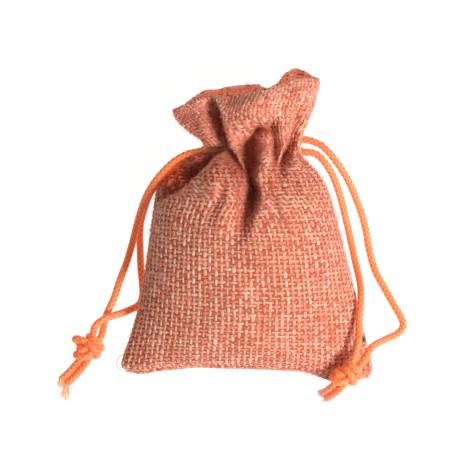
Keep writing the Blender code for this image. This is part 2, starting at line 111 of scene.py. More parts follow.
world = bpy.data.worlds.new("studio")
world.use_nodes = True
for socket, value in ROOM.items():
    world.node_tree.nodes["Background"].inputs[socket].default_value = value
bpy.context.scene.world = world
for name, (place, size, power, colour) in LAMPS.items():
    lamp = bpy.data.lights.new(name, "AREA")
    lamp.shape = "DISK"
    lamp.size = size * MM
    lamp.energy = power
    lamp.color = colour
    holder = show(name, lamp)
    holder.location = Vector(place) * MM
    holder.rotation_euler = (-holder.location).to_track_quat("-Z", "Y").to_euler()
print("lights:", ", ".join(LAMPS))

# %% [markdown]
# ## A short way to write node trees
#
# Materials and Geometry Nodes are both trees of nodes. `Graph.node` adds a node of any type: it
# makes its settings, then gives its sockets their values or links. What it returns is a `Wire`, one
# socket that Python's operators can calculate with, so a formula reads like a formula.

# %% Node trees


def operator(operation, swapped=False):
    """Make a method of Wire that adds a Math node."""
    def method(self, other):
        return self.graph.maths(operation, *((other, self) if swapped else (self, other)))
    return method


class Wire:
    """One output socket, with Python's operators standing for Math nodes."""

    def __init__(self, graph, socket):
        self.graph = graph
        self.socket = socket

    __add__, __radd__ = operator("ADD"), operator("ADD", True)
    __sub__, __rsub__ = operator("SUBTRACT"), operator("SUBTRACT", True)
    __mul__, __rmul__ = operator("MULTIPLY"), operator("MULTIPLY", True)
    __truediv__, __rtruediv__ = operator("DIVIDE"), operator("DIVIDE", True)


class Graph:
    """A node tree that is being built."""

    def __init__(self, tree):
        self.tree = tree

    def fill(self, made, sockets):
        """Give a node's sockets their values or links."""
        for key, value in sockets.items():
            if isinstance(value, Wire):
                self.tree.links.new(value.socket, made.inputs[key])
            else:
                made.inputs[key].default_value = value

    def node(self, kind, sockets=(), output=0, **settings):
        """Add a node and return one of its outputs."""
        made = self.tree.nodes.new(kind)
        for name, value in settings.items():
            if name == "stops":
                set_stops(made.color_ramp, value)
            else:
                setattr(made, name, value)
        self.fill(made, dict(sockets))
        return Wire(self, made.outputs[output])

    def maths(self, operation, *values):
        """Calculate with values."""
        return self.node("ShaderNodeMath", enumerate(values), operation=operation)

    def vector(self, operation, sockets):
        """Calculate with vectors."""
        return self.node("ShaderNodeVectorMath", sockets, operation=operation)

    def mixed(self, first, second, share):
        """Mix two colours."""
        return self.node("ShaderNodeMix", {0: share, 6: first, 7: second}, 2, data_type="RGBA")

    def attribute(self, name):
        """Read a surface's attribute in a material."""
        return self.node("ShaderNodeAttribute", output="Fac", attribute_name=name)

    def noise(self, place, scale, detail):
        """Read a noise pattern at a place."""
        return self.node("ShaderNodeTexNoise", {"Vector": place, "Scale": scale, "Detail": detail})

    def ramp(self, share, stops):
        """Turn a value into a colour of a ramp."""
        return self.node("ShaderNodeValToRGB", {"Fac": share}, stops=stops)

    def relief(self, height, strength, distance):
        """Turn heights into a bumpy normal."""
        sockets = {"Strength": strength, "Distance": distance, "Height": height}
        return self.node("ShaderNodeBump", sockets)

    def read(self, name, kind="FLOAT"):
        """Read an attribute in Geometry Nodes."""
        return self.node("GeometryNodeInputNamedAttribute", {"Name": name}, data_type=kind)

    def store(self, geometry, name, value):
        """Store an attribute on every point."""
        sockets = {"Geometry": geometry, "Name": name, "Value": value}
        return self.node("GeometryNodeStoreNamedAttribute", sockets, data_type="FLOAT", domain="POINT")


def set_stops(ramp, stops):
    """Give a colour ramp its stops: rows of a place and a screen colour."""
    while len(ramp.elements) < len(stops):
        ramp.elements.new(0.5)
    for element, (place, *colour) in zip(ramp.elements, stops):
        element.position = place
        element.color = paint(*colour)


def paint(red, green, blue):
    """Turn a screen colour of 0 to 255 into the linear values that shaders use."""
    shares = [value / 255.0 for value in (red, green, blue)]
    linear = [s / 12.92 if s <= 0.04045 else ((s + 0.055) / 1.055) ** 2.4 for s in shares]
    return (*linear, 1.0)


def new_material(name):
    """Return a material and the graph of its nodes."""
    material = bpy.data.materials.new(name)
    material.use_nodes = True
    return material, Graph(material.node_tree)


def finished(material, graph, **sockets):
    """Give a material's main shader its values and links: Base_Color stands for Base Color."""
    shader = material.node_tree.nodes["Principled BSDF"]
    graph.fill(shader, {name.replace("_", " "): value for name, value in sockets.items()})
    return material


# %% Floor
FLOOR_SIZE = 6.0
FLOOR_DROP = 0.05
FLOOR_GREY = (0.3, 0.3, 0.3, 1.0)
WHITE = (1.0, 1.0, 1.0, 1.0)

floor_mesh = bpy.data.meshes.new("floor")
half_floor = 0.5 * FLOOR_SIZE
signs = ((-1, -1), (1, -1), (1, 1), (-1, 1))
corners = [(x * half_floor, y * half_floor, -FLOOR_DROP * MM) for x, y in signs]
floor_mesh.from_pydata(corners, [], [(0, 1, 2, 3)])
floor = show("floor", floor_mesh)
floor_mesh.materials.append(finished(*new_material("floor_white"), Base_Color=FLOOR_GREY, Roughness=0.9,
                                     Emission_Color=WHITE, Emission_Strength=0.92))
print("floor:", FLOOR_SIZE, "m wide")

# %% [markdown]
# ## Geometry Nodes in three steps
#
# Braids, yarns and fuzz all repeat along lines. Each is grown in the same way: a guide mesh of bare
# lines carries what is known at every point as attributes, a tree turns the lines into skin, and the
# result is read back as a plain mesh, so nothing is left live.

# %% Guides, trees and what grows on them


def give_field(mesh, name, values):
    """Store a value or a vector for each point of a mesh."""
    kind, key = ("FLOAT_VECTOR", "vector") if values.ndim == 2 else ("FLOAT", "value")
    mesh.attributes.new(name, kind, "POINT").data.foreach_set(key, values.ravel())


def guide_mesh(name, lines, fields):
    """Make a mesh of open lines, with a value or vector per point for each field."""
    mesh = bpy.data.meshes.new(name)
    edges = []
    start = 0
    for line in lines:
        edges += [(start + index, start + index + 1) for index in range(len(line) - 1)]
        start += len(line)
    mesh.from_pydata(np.concatenate(lines).tolist(), edges, [])
    for field, values in fields.items():
        give_field(mesh, field, np.concatenate(values))
    return mesh


def start_tree(name, values):
    """Start a tree with an input for each value. Return its graph, its inputs and its lines."""
    tree = bpy.data.node_groups.new(name, "GeometryNodeTree")
    tree.is_modifier = True
    tree.interface.new_socket("Geometry", in_out="OUTPUT", socket_type="NodeSocketGeometry")
    tree.interface.new_socket("Geometry", in_out="INPUT", socket_type="NodeSocketGeometry")
    for label, value in values.items():
        kind = "NodeSocket" + type(value).__name__.title()
        tree.interface.new_socket(label, in_out="INPUT", socket_type=kind)
    graph = Graph(tree)
    entry = tree.nodes.new("NodeGroupInput")
    given = {socket.name: Wire(graph, socket) for socket in entry.outputs if socket.name}
    return graph, given, graph.node("GeometryNodeMeshToCurve", {"Mesh": given["Geometry"]})


def sweep(graph, line, sides, radius, scale):
    """Sweep a circle along a line. The skin stores how far round the circle it is."""
    circle = graph.node("GeometryNodeCurvePrimitiveCircle", {"Resolution": sides, "Radius": radius})
    turn = graph.node("GeometryNodeSplineParameter", output="Factor")
    sockets = {"Curve": line, "Profile Curve": graph.store(circle, "around", turn), "Scale": scale,
               "Fill Caps": True}
    return graph.node("GeometryNodeCurveToMesh", sockets)


def end_tree(graph, geometry, material):
    """End a tree with real geometry and its material."""
    real = graph.node("GeometryNodeRealizeInstances", {"Geometry": geometry})
    smooth = graph.node("GeometryNodeSetShadeSmooth", {"Geometry": real})
    painted = graph.node("GeometryNodeSetMaterial", {"Geometry": smooth, "Material": material})
    leave = graph.tree.nodes.new("NodeGroupOutput")
    graph.tree.links.new(painted.socket, leave.inputs[0])
    return graph.tree


def grow(name, mesh, tree, values):
    """Run a tree on a mesh. Return the result, a plain mesh on the root body."""
    seed = show(name, mesh)
    modifier = seed.modifiers.new("growth", "NODES")
    modifier.node_group = tree
    for item in tree.interface.items_tree:
        if item.in_out == "INPUT" and item.name in values:
            modifier[item.identifier] = values[item.name]
    evaluated = seed.evaluated_get(bpy.context.evaluated_depsgraph_get())
    grown = bpy.data.meshes.new_from_object(evaluated)
    bpy.data.objects.remove(seed, do_unlink=True)
    grown.name = name
    piece = show(name, grown)
    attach(piece, "root")
    print(name + ":", len(grown.polygons), "faces")
    return piece


# %% [markdown]
# ## The cords
#
# Two loops of cord run through the neck, and both ends of each come out at one side. A simulation
# could drape them, but not in the curves of the photograph. So their routes are listed points, the
# same as the solids follow, with one smooth curve through them.

# %% Cord routes and knots
CORD_DIAMETER = 2.0
CORD_ROUTES = {
    "cord_left_outer": (
        (-13.2, 62, 12.6), (-15.9, 61.4, 13.4), (-19, 59.8, 13.8), (-21.9, 57.3, 13.3),
        (-24.7, 54.1, 12.1), (-26.8, 50.9, 10.3), (-28.4, 47.2, 8), (-29.5, 43.9, 5.8),
        (-30.4, 40.6, 3.9), (-31.6, 36.2, 1.9), (-33, 31.6, 1.1), (-34.7, 27.2, 1.05), (-36.4, 22, 1.05),
        (-37.9, 18.8, 1.05), (-38.8, 16.6, 1.1), (-39.1, 14.6, 2.1),
    ),
    "cord_left_inner": (
        (-13.6, 61.2, 10.6), (-16.2, 60.4, 11.4), (-18.9, 58.4, 11.9), (-22, 56.2, 11.2),
        (-24.5, 53.6, 9.3), (-26.5, 50.4, 6.8), (-27.9, 46.8, 4.2), (-28.9, 43.4, 2.2), (-29.3, 40, 1.1),
        (-29.2, 36, 1.05), (-29, 30.5, 1.05), (-28.6, 26.1, 1.05), (-28.5, 22.9, 1.05),
        (-29.4, 20.4, 1.1), (-31.8, 19, 1.6), (-34.6, 17.9, 2.4), (-37.2, 17.1, 3.4), (-39.7, 16, 4),
        (-41.5, 14.4, 4),
    ),
    "cord_right_outer": (
        (16.6, 65.2, 12.2), (18.6, 64.6, 12.6), (20.9, 63.3, 12.8), (23.8, 60.1, 12.4),
        (26.8, 55.8, 10.6), (28.7, 52.2, 8.4), (30.1, 49, 6), (31.7, 44.9, 3.2), (32.8, 40.8, 1.6),
        (33.6, 36.2, 1.1), (34.7, 31.6, 1.05), (36, 28.3, 1.05), (37.7, 25.3, 1.05), (39.3, 22.4, 1.05),
        (40.9, 19.6, 1.05), (42.4, 17, 1.05), (43.1, 14.9, 1.1), (42.4, 13.1, 1.4), (40.9, 12, 2),
        (38.9, 11.2, 3.4), (36.9, 10.4, 5.8), (35.1, 9.6, 8.6), (33.5, 8.3, 11.4),
    ),
    "cord_right_inner": (
        (16.8, 61.9, 10.2), (18.4, 61.7, 10.4), (20.3, 60.4, 10.4), (22.3, 57.8, 9.8), (24, 54.6, 8.4),
        (25.3, 51, 6.6), (26.4, 47.2, 4.8), (27.4, 43.2, 3.6), (28.3, 39.4, 3), (29, 36, 3.2),
        (29.8, 32.2, 4.2), (30.6, 28.6, 6), (31.1, 25.4, 8.4), (31.1, 22.2, 10.4), (30.9, 19.4, 11.3),
        (30.6, 15.8, 11.8), (30.4, 12.8, 12.6), (30.3, 10.2, 13.3),
    ),
}
CORD_ENDS = {name: ("knot_" + name.split("_")[1], 1.0 if name.endswith("outer") else -1.0)
             for name in CORD_ROUTES}

# A knot is a doubled overhand one, with its two strands on either side of a middle line. Columns of
# that line's places: along the knot's axis, turn about it in degrees (90 is up), distance, spread.
KNOT_TURNS = (
    (4.4, 90, 0.5, 2.4), (2.8, 90, 0.95, 2.15), (1, 90, 0.95, 1.9), (-0.7, 95, 1.05, 1.9),
    (-2, 115, 1.8, 1.9), (-2.3, 160, 2.5, 1.9), (-1.7, 215, 2.75, 1.9), (-0.9, 270, 2.75, 1.9),
    (0, 325, 2.75, 1.9), (0.9, 380, 2.75, 1.9), (1.7, 430, 2.75, 1.9), (2, 480, 2.4, 1.9),
    (1.8, 540, 1.7, 1.9), (0.8, 605, 1, 1.9), (-1, 630, 0.95, 1.9), (-2.8, 630, 0.95, 2),
)
TAIL_SPREAD = 1.92
# A knot's middle, the axis it is tied along, and its tail's places: along the axis, down and aside.
KNOTS = {
    "knot_left": ((-42.9, 8.3, 3.8), (0.47, 0.88, 0),
                  ((-4.8, 0.7, -0.2), (-6.8, 1.5, -0.6), (-9, 1.75, -1.2), (-11.4, 1.8, -2))),
    "knot_right": ((27.3, 1.6, 12.6), (0.62, 0.76, 0.08),
                   ((-5, 1.2, 0), (-6.5, 3.2, -0.2), (-7.7, 5.7, -0.4), (-8.5, 8.2, -0.6))),
}
# A cord runs on a little past its free stretch: into the neck's casing, and under its knot's turns.
CASING_STEPS = {"knot_left": (2.2, 0.8, -0.7), "knot_right": (-2.4, 0.4, -0.6)}
STUB_POINTS = 3
CURVE_SUBSTEPS = 12
FINE_STEP = 0.5
UP = Vector((0.0, 0.0, 1.0))


def run_along(points):
    """Return how far along a line each of its points is."""
    steps = np.linalg.norm(np.diff(points[:, :3], axis=0), axis=1)
    return np.concatenate(([0.0], np.cumsum(steps)))


def evenly(points, count):
    """Return count + 1 points, evenly spaced along a line; columns after X, Y and Z ride along."""
    along = run_along(points)
    places = np.linspace(0.0, along[-1], count + 1)
    return np.column_stack([np.interp(places, along, column) for column in points.T])


def line_length(points):
    """Measure a line of points."""
    return float(np.linalg.norm(np.diff(points, axis=0), axis=1).sum())


def smooth_line(points, step):
    """Return points about one step apart on a smooth curve through the given ones."""
    points = np.asarray([tuple(point) for point in points], dtype=float)
    padded = np.vstack((2.0 * points[0] - points[1], points, 2.0 * points[-1] - points[-2]))
    share = np.linspace(0.0, 1.0, CURVE_SUBSTEPS, endpoint=False)[:, None]
    fine = []
    for before, start, end, after in zip(padded, padded[1:], padded[2:], padded[3:]):
        cubic = 2.0 * start + (end - before) * share
        cubic = cubic + (2.0 * before - 5.0 * start + 4.0 * end - after) * share ** 2
        cubic = cubic + (3.0 * start - before - 3.0 * end + after) * share ** 3
        fine.append(0.5 * cubic)
    fine = np.vstack(fine + [points[-1:]])
    return evenly(fine, max(2, round(line_length(fine) / step)))


def strand_line(knot, sign):
    """Return the line of one of a knot's two strands, from the neck's side to its tail."""
    middle, axis, tail = knot
    middle = Vector(middle)
    axis = Vector(axis).normalized()
    side = axis.cross(UP).normalized()
    up = side.cross(axis)
    rows = []
    for along, turn, distance, spread in KNOT_TURNS:
        out = side * math.cos(math.radians(turn)) + up * math.sin(math.radians(turn))
        rows.append((middle + axis * along + out * distance, out, spread))
    for along, drop, aside in tail:
        place = middle + axis * along - up * distance - UP * drop + side * aside
        rows.append((place, -up, TAIL_SPREAD))
    points = []
    for index, (place, out, spread) in enumerate(rows):
        ahead = rows[min(index + 1, len(rows) - 1)][0]
        behind = rows[max(index - 1, 0)][0]
        across = out.cross(ahead - behind).normalized()
        points.append(tuple(place + across * sign * 0.5 * spread))
    return points


def cord_line(name, step):
    """Return a cord's points from inside the casing to under the turns of its knot."""
    knot_name, sign = CORD_ENDS[name]
    route = list(CORD_ROUTES[name])
    inside = tuple(np.add(route[0], CASING_STEPS[knot_name]))
    return smooth_line([inside] + route + strand_line(KNOTS[knot_name], sign)[:STUB_POINTS], step)


cord_lengths = {name: line_length(cord_line(name, FINE_STEP)) for name in CORD_ENDS}
print("cord lengths, mm:", {name: round(length, 1) for name, length in cord_lengths.items()})

# %% [markdown]
# ## The braid
#
# The cord is a round braid of eight glossy strands, with pits in slanting rows where they
# cross. A picture of a braid has a smooth outline, and eight modelled strands are heavy. So a tree
# sweeps a fine round profile along the route and lifts the skin by two waves, one for each way the
# strands wind. With the same height, the material paints shade into the pits and a painted highlight
# onto the crowns.

# %% Cord material
CORD_MIDDLE = (252, 112, 54)
# Painted shade for the pits at the low end, a painted highlight for the crowns at the high end.
CORD_SHADE_AND_HIGHLIGHT_TONES = ((0.15, 138, 32, 8), (0.55, *CORD_MIDDLE), (0.95, 255, 156, 98))
# Colour of the cord's small glow: painted light.
CORD_PAINTED_GLOW = paint(255, 118, 52)
FILAMENTS_ROUND = 56.0
FILAMENTS_PER_MM = 3.1


def cord_material():
    """Glossy orange polyester braid, with painted shade in its pits and a painted highlight on its crowns.
    Its small glow is painted light.
    """
    material, graph = new_material("braided_cord")
    height = graph.attribute("height")
    # Painted shade in the pits and a painted highlight on the crowns, both read from the braid's height.
    colour = graph.ramp(height, CORD_SHADE_AND_HIGHLIGHT_TONES)
    blotch = graph.noise(graph.node("ShaderNodeTexCoord", output="Object"), 260.0, 3.0)
    turns = graph.attribute("around") * FILAMENTS_ROUND
    turns = turns + graph.attribute("along") / MM * FILAMENTS_PER_MM
    filament = graph.maths("SINE", turns * 2.0 * math.pi)
    # The emission is painted light that brightens the whole cord.
    return finished(
        material, graph, Base_Color=graph.mixed(colour, paint(*CORD_MIDDLE), blotch * 0.35),
        Roughness=0.62 - height * 0.24, Normal=graph.relief(filament, 0.25, 0.00004),
        Sheen_Weight=0.25, Sheen_Roughness=0.4, Emission_Color=CORD_PAINTED_GLOW, Emission_Strength=0.14)


# %% Braid tree
BRAID_VALUES = {
    "Radius": 0.5 * CORD_DIAMETER * MM, "Relief": 0.17 * MM, "Cell length": 1.45 * MM, "Cells": 4.0,
    "Step": 0.2 * MM, "Sides": 28, "Material": cord_material(),
}


def braid_tree():
    """Build the tree that turns bare lines into braided cord."""
    graph, given, line = start_tree("braided cord", BRAID_VALUES)
    line = graph.node("GeometryNodeResampleCurve", {"Curve": line, "Length": given["Step"]}, mode="LENGTH")
    line = graph.store(line, "along", graph.node("GeometryNodeSplineParameter", output="Length"))
    skin = sweep(graph, line, given["Sides"], given["Radius"] - given["Relief"], 1.0)
    around = graph.read("around") * given["Cells"]
    along = graph.read("along") / given["Cell length"]
    right_hand = 1.0 - graph.maths("ABSOLUTE", graph.maths("SINE", (around + along) * math.pi))
    left_hand = 1.0 - graph.maths("ABSOLUTE", graph.maths("SINE", (around - along) * math.pi))
    pit = graph.maths("POWER", right_hand * left_hand, 0.6)
    seam = graph.maths("POWER", graph.maths("MAXIMUM", right_hand, left_hand), 3.0)
    height = 1.0 - pit * 0.75 - seam * 0.25
    skin = graph.store(skin, "height", height)
    normal = graph.node("GeometryNodeInputNormal")
    lift = graph.vector("SCALE", {"Vector": normal, "Scale": height * given["Relief"]})
    skin = graph.node("GeometryNodeSetPosition", {"Geometry": skin, "Offset": lift})
    return end_tree(graph, skin, given["Material"])


BRAID_TREE = braid_tree()
print("braid:", len(BRAID_TREE.nodes), "nodes in its tree")

# %% [markdown]
# ## Loose fibres
#
# Spun yarn and cut braid are hairy, and the fuzz is what makes cloth look soft. Real fibres are far
# too many, so some thousands of thicker ones stand for them. Each is a bare line of a few points
# with a thickness and a tone, and one small tree gives all of them a three-sided skin.

# %% Fibre tree and material
FIBRE_SIDES = 3
FIBRE_FLOOR = 0.1
FIBRE_TONES = ((0, 196, 62, 34), (0.35, 240, 118, 80), (0.7, 248, 180, 150), (1, 255, 242, 206))
# Colour of the fibres' glow: painted light.
FIBRE_PAINTED_GLOW = paint(255, 190, 140)
FIBRE_SEED = 11

draws = np.random.default_rng(FIBRE_SEED)


def unit(vectors):
    """Scale vectors to length one."""
    return vectors / np.maximum(np.linalg.norm(vectors, axis=-1, keepdims=True), 1e-9)


def fibre_material(name, glow):
    """Single fibres, dyed as the yarn or left pale. Where a strength is given, they glow a little: painted
    light.
    """
    material, graph = new_material(name)
    return finished(material, graph, Base_Color=graph.ramp(graph.attribute("tone"), FIBRE_TONES),
                    Roughness=0.7, Emission_Color=FIBRE_PAINTED_GLOW, Emission_Strength=glow)


FIBRE_VALUES = {
    "sack_cloth": {"Sides": FIBRE_SIDES, "Material": fibre_material("loose_fibre", 0.0)},
    # The cut cord's fibres glow a little: painted light.
    "cord_braid": {"Sides": FIBRE_SIDES, "Material": fibre_material("cut_cord_fibre", 0.2)},
}


def fibre_tree():
    """Build the tree that turns bare lines into loose fibres."""
    graph, given, line = start_tree("loose fibres", FIBRE_VALUES["sack_cloth"])
    skin = sweep(graph, line, given["Sides"], 1.0, graph.read("thick"))
    return end_tree(graph, skin, given["Material"])


FIBRE_TREE = fibre_tree()
print("fibres:", len(FIBRE_TREE.nodes), "nodes in their tree")


def grow_fibres(name, slot, points, radii, tones):
    """Grow fibres: lines of points, a radius for each line, and a tone for each line or point."""
    points[:, :, 2] = np.maximum(points[:, :, 2], FIBRE_FLOOR)
    count = points.shape[1]
    fields = {"thick": [np.full(count, radius * MM) for radius in radii],
              "tone": [np.broadcast_to(tone, count) for tone in tones]}
    guide = guide_mesh(name + "_guide", list(to_world(points)), fields)
    return grow(name, guide, FIBRE_TREE, FIBRE_VALUES[slot])


# %% [markdown]
# ## Cords, knots and cut ends
#
# Each cord and each knot's pair of strands is grown with the braid tree. The left knot has one small
# slack turn that stands out beside it. The cut ends have come undone: the left pair into a pale
# brush, because the core of the cord is undyed, the right pair into a short stubble.

# %% Cords
CORD_POINT_STEP = 1.2
SLACK_TURNS = {
    "knot_left": ((-42.8, 9.4, 5.4), (-44.6, 10.6, 5.7), (-46.3, 11.1, 5), (-46.9, 10.9, 3.9),
                  (-46.2, 10.2, 2.9), (-44.8, 8.8, 2.6), (-43.8, 6.8, 2.8)),
}
FRAYS = {
    "knot_left": {"counts": (80, 60), "lengths": ((2.6, 5.2), (1.4, 3.2)), "toward": (0.35, -1.0, -0.1),
                  "pull": 1.5, "fan": 0.12, "tones": (0.6, 0.95)},
    "knot_right": {"counts": (60, 60), "lengths": ((0.4, 1.5), (0.4, 1.7)), "toward": (-0.9, -0.4, 0.0),
                   "pull": 0.3, "fan": 0.35, "tones": (0.2, 0.5)},
}
FRAY_POINTS = 5
FRAY_RADIUS = (0.05, 0.09)
FRAY_DISC = 0.95
FRAY_ROOT = 0.4
FRAY_WAIST = 0.25
FRAY_CURL = 0.10
FRAY_TONE_RANGE = 0.15


def frayed_ends(name, knot):
    """Return the fibres that fan out of both cut ends of a knot, with their radii and tones."""
    fray = FRAYS[name]
    blocks = []
    for sign, count, length in zip((-1.0, 1.0), fray["counts"], fray["lengths"]):
        before, end = np.array(strand_line(knot, sign)[-2:])
        ahead = unit(unit(end - before) + fray["pull"] * unit(np.array(fray["toward"])))
        offset = draws.normal(0.0, 1.0, (count, 3))
        offset = offset - (offset @ ahead)[:, None] * ahead
        offset = unit(offset) * FRAY_DISC * np.sqrt(draws.random((count, 1)))
        reach = draws.uniform(*length, (count, 1))
        curl = draws.normal(0.0, FRAY_CURL, (count, 3)) * reach
        steps = []
        for share in np.linspace(0.0, 1.0, FRAY_POINTS):
            middle = end - FRAY_ROOT * ahead + ahead * reach * share
            squeeze = 1.0 - FRAY_WAIST * math.sin(math.pi * share)
            spread = offset * (squeeze + fray["fan"] * reach * share ** 2)
            steps.append(middle + spread + curl * share ** 2)
        blocks.append(np.stack(steps, axis=1))
    points = np.concatenate(blocks)
    radii = draws.uniform(*FRAY_RADIUS, len(points))
    tones = np.linspace(*fray["tones"], FRAY_POINTS)
    return points, radii, tones + draws.uniform(-FRAY_TONE_RANGE, FRAY_TONE_RANGE, (len(points), 1))


def braid(name, lines):
    """Grow braided cord along lines of layout points, as one piece."""
    guide = guide_mesh(name + "_guide", [to_world(line) for line in lines], {})
    return grow(name, guide, BRAID_TREE, BRAID_VALUES)


knots = {}
for name, knot in KNOTS.items():
    strands = [strand_line(knot, sign)[STUB_POINTS - 1:] for sign in (-1.0, 1.0)]
    if name in SLACK_TURNS:
        strands.append(SLACK_TURNS[name])
    tied = braid(name + "_tied", [smooth_line(strand, FINE_STEP) for strand in strands])
    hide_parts(name)
    knots[name] = [tied, grow_fibres(name + "_frays", "cord_braid", *frayed_ends(name, knot))]

for name, (knot_name, sign) in CORD_ENDS.items():
    line = cord_line(name, CORD_POINT_STEP)
    piece = braid(name + "_braid", [line])
    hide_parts(name)
    path = to_world(line)
    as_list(knots[knot_name])

# %% [markdown]
# ## The cloth's shape
#
# A cloth simulation makes folds of its own, not those of the photograph. So the sack's wall is
# worked out as a stack of closed loops, one for each height in the cloth, from the bottom fold at 0
# to the top edge at RIM. LOOPS gives their size and place, the fold tables press creases into them,
# and dents and waves add the smaller forms. Every yarn is laid on this surface.

# %% Loops
RIM = 90.0
HALF_WIDTH = 35.0
# Columns: height in the cloth, left and right (the seams' X), y_left, y_front, y_right, y_back,
# z_left, z_right, z_middle, half (the thickness), and how full the front (crown) and back (seat) are.
LOOPS = (
    (0, -32.9, 33.6, 2.5, 3.9, 0.9, 3.9, 3.8, 3.8, 7.8, 0.95, 6, 6),
    (2.6, -34.2, 34.3, 3.9, 4.9, 2.7, 4.8, 3.8, 3.8, 8.2, 3.8, 1.8, 1.9),
    (5.4, -33.7, 34.1, 6.2, 6.7, 5, 6.4, 3.9, 3.9, 8.7, 6.1, 1.25, 1.4),
    (12, -31.5, 32.5, 12.4, 11.4, 11.2, 11.8, 4.8, 4.8, 9.6, 9.2, 1.4, 1.7),
    (20, -29.2, 30.6, 20.6, 18.6, 19.2, 19.3, 6.6, 6.6, 11.3, 11.1, 1.65, 2.1),
    (30, -27.4, 28.2, 30.4, 28.2, 29, 29, 8.8, 8.8, 12.9, 12.5, 1.9, 2.4),
    (40, -26, 25.6, 40.2, 38, 38.6, 38.6, 10, 10, 13.5, 13.1, 2.1, 2.6),
    (48, -24.9, 23.6, 48, 45.9, 46.4, 46.3, 9.8, 10.2, 13.4, 13, 2.1, 2.6),
    (54, -24, 21.8, 53.2, 51.6, 52, 51.8, 8.8, 10.2, 12.8, 12.3, 2, 2.5),
    (59, -21.6, 19.2, 57.2, 56.2, 56.3, 56.2, 8, 10.2, 12.1, 11.2, 2, 2.4),
    (64, -17.2, 16.3, 60, 60.2, 59.4, 59.8, 8.8, 10.4, 11.4, 9.4, 2, 2.2),
    (67, -13.8, 14.9, 61.4, 62.2, 61.2, 61.8, 10, 10.8, 11.2, 8.3, 2, 2),
    (70, -11.2, 14.5, 63, 64, 63.4, 63.6, 10.6, 11.4, 11.1, 7.8, 2, 2),
    (73, -12, 15, 65, 66.8, 66.2, 66.4, 10.1, 12, 11.4, 8.3, 2, 2),
    (77, -15.2, 16.4, 67.3, 70.4, 69.8, 70.2, 9.8, 12.9, 11.7, 9.3, 2, 2.1),
    (82, -18.1, 18.1, 69.9, 73.6, 74.4, 74.3, 9.6, 14.8, 12.1, 9.9, 1.9, 2.2),
    (86, -19.3, 19.1, 71.6, 75.5, 77.8, 76.9, 9.3, 16.1, 12.2, 10, 1.8, 2.3),
    (90, -19.9, 19.7, 72.9, 77.3, 81, 79.3, 9.1, 16.3, 12, 10, 1.8, 2.3),
)

# Columns: name, reach_left, reach_right, slip (under the cloth to the right, for each millimetre of
# depth), then stations. A station is a height in the cloth, the valley's X and its depth.
FRONT_FOLDS = (
    ("lobe_edge", 4.6, 2.8, 0.6,
     (46, 0.6, 0), (52, -1, 2), (58, -2.9, 3.8), (64, -5, 5.4), (70, -6.8, 7), (75, -8, 8),
     (80, -8.8, 6.6), (85, -9.4, 4), (90, -9.9, 1.6)),
    ("shoulder", 4.6, 3.2, 0.45,
     (47.5, -24.4, 0), (50, -22.6, 2), (53, -19.6, 5.4), (56, -16.8, 8), (59, -14.3, 9.4),
     (62.5, -12, 8.8), (66, -10.2, 6.4), (70, -8.8, 3.6), (75, -8.6, 0)),
    ("middle_crease", 5.8, 3, 0.1,
     (37, -2.8, 0), (41, -1.9, 1.4), (45, -0.6, 3.6), (49, 0.8, 6.4), (53, 1.5, 8.2), (57.5, 0.4, 8.2),
     (62, 1.2, 7.2), (67, 1, 5.8), (73, 1.6, 3.6), (77, 3, 0)),
    ("small_pleat", 2.2, 2.4, -0.1,
     (55, 6.6, 0), (60, 7.2, 1.2), (65, 7.7, 3), (70, 7.9, 4.2), (74, 7.2, 3.4), (78, 6.6, 0)),
    ("right_crease", 2.6, 3.2, -0.3,
     (51, 8.4, 0), (57, 9.2, 1.6), (62, 10.2, 3.8), (67, 11.4, 5), (72, 12.8, 4.2), (78, 13.8, 2),
     (84, 14.4, 0)),
    ("right_shoulder", 2.4, 2.2, -0.2,
     (51, 21.4, 0), (55, 19.4, 1), (60, 16.6, 1.8), (65, 14.2, 1.6), (70, 12.8, 0)),
    ("left_wrinkle", 2.4, 2.4, 0.1,
     (42, -11, 0), (48, -8.6, 0.5), (54, -6.6, 1.2), (60, -5.4, 0.6), (66, -4.6, 0)),
    ("right_wrinkle", 2.4, 2.2, -0.1,
     (42, 10.2, 0), (48, 8.2, 0.6), (54, 6.2, 1.3), (60, 5, 0.6), (66, 4.4, 0)),
    ("far_wrinkle", 2.6, 2.4, -0.1,
     (43, 18, 0), (49, 15.8, 0.5), (56, 12.8, 1.3), (62, 11.2, 0.6), (68, 10.6, 0)),
)
BACK_FOLDS = (
    ("back_1", 2.7, 2.7, 0.2,
     (44, -17, 0), (56, -11.5, 1.4), (68, -7.6, 3), (80, -11, 2.6), (90, -13, 2.2)),
    ("back_2", 2.5, 2.5, -0.2,
     (46, -8, 0), (57, -5, 1.5), (69, -3, 3.3), (80, -4.8, 2.4), (90, -6, 1.8)),
    ("back_3", 2.5, 2.5, 0.15,
     (44, 1.6, 0), (56, 1.7, 1.4), (68, 1.8, 3.1), (80, 1.6, 2.7), (90, 1.4, 2.4)),
    ("back_4", 2.5, 2.5, -0.15,
     (46, 10, 0), (57, 7.8, 1.5), (69, 6.6, 3.3), (80, 7.4, 2.4), (90, 8, 1.8)),
    ("back_5", 2.6, 2.6, -0.2,
     (44, 19, 0), (56, 14, 1.4), (68, 11.2, 3), (80, 13.4, 2.5), (90, 15, 2)),
)

# Columns: name, X, height in the cloth, half_x, half_cloth, deepest. Below 0 it is a swelling.
DENTS = (
    ("arch_over_pleat", 4.4, 74.6, 4.6, 2.6, 4.4),
    ("pleat_crown", 4.8, 64.5, 3.2, 8.5, -2),
    ("crease_mouth", 0.4, 52.5, 5, 5.5, 2.8),
    ("lobe_swell", 1.2, 81, 8.5, 11, -2.6),
    ("flap_swell", -8, 55, 7, 8, -1.4),
    ("right_panel_swell", 14.5, 84, 5, 8, -0.8),
    ("left_panel_fall", -17.8, 84, 5.5, 11, 2.2),
    ("under_cords", -19.6, 60, 5.5, 7.5, 3.6),
    ("lobe_foot", -12.6, 81, 6, 11, 3),
)
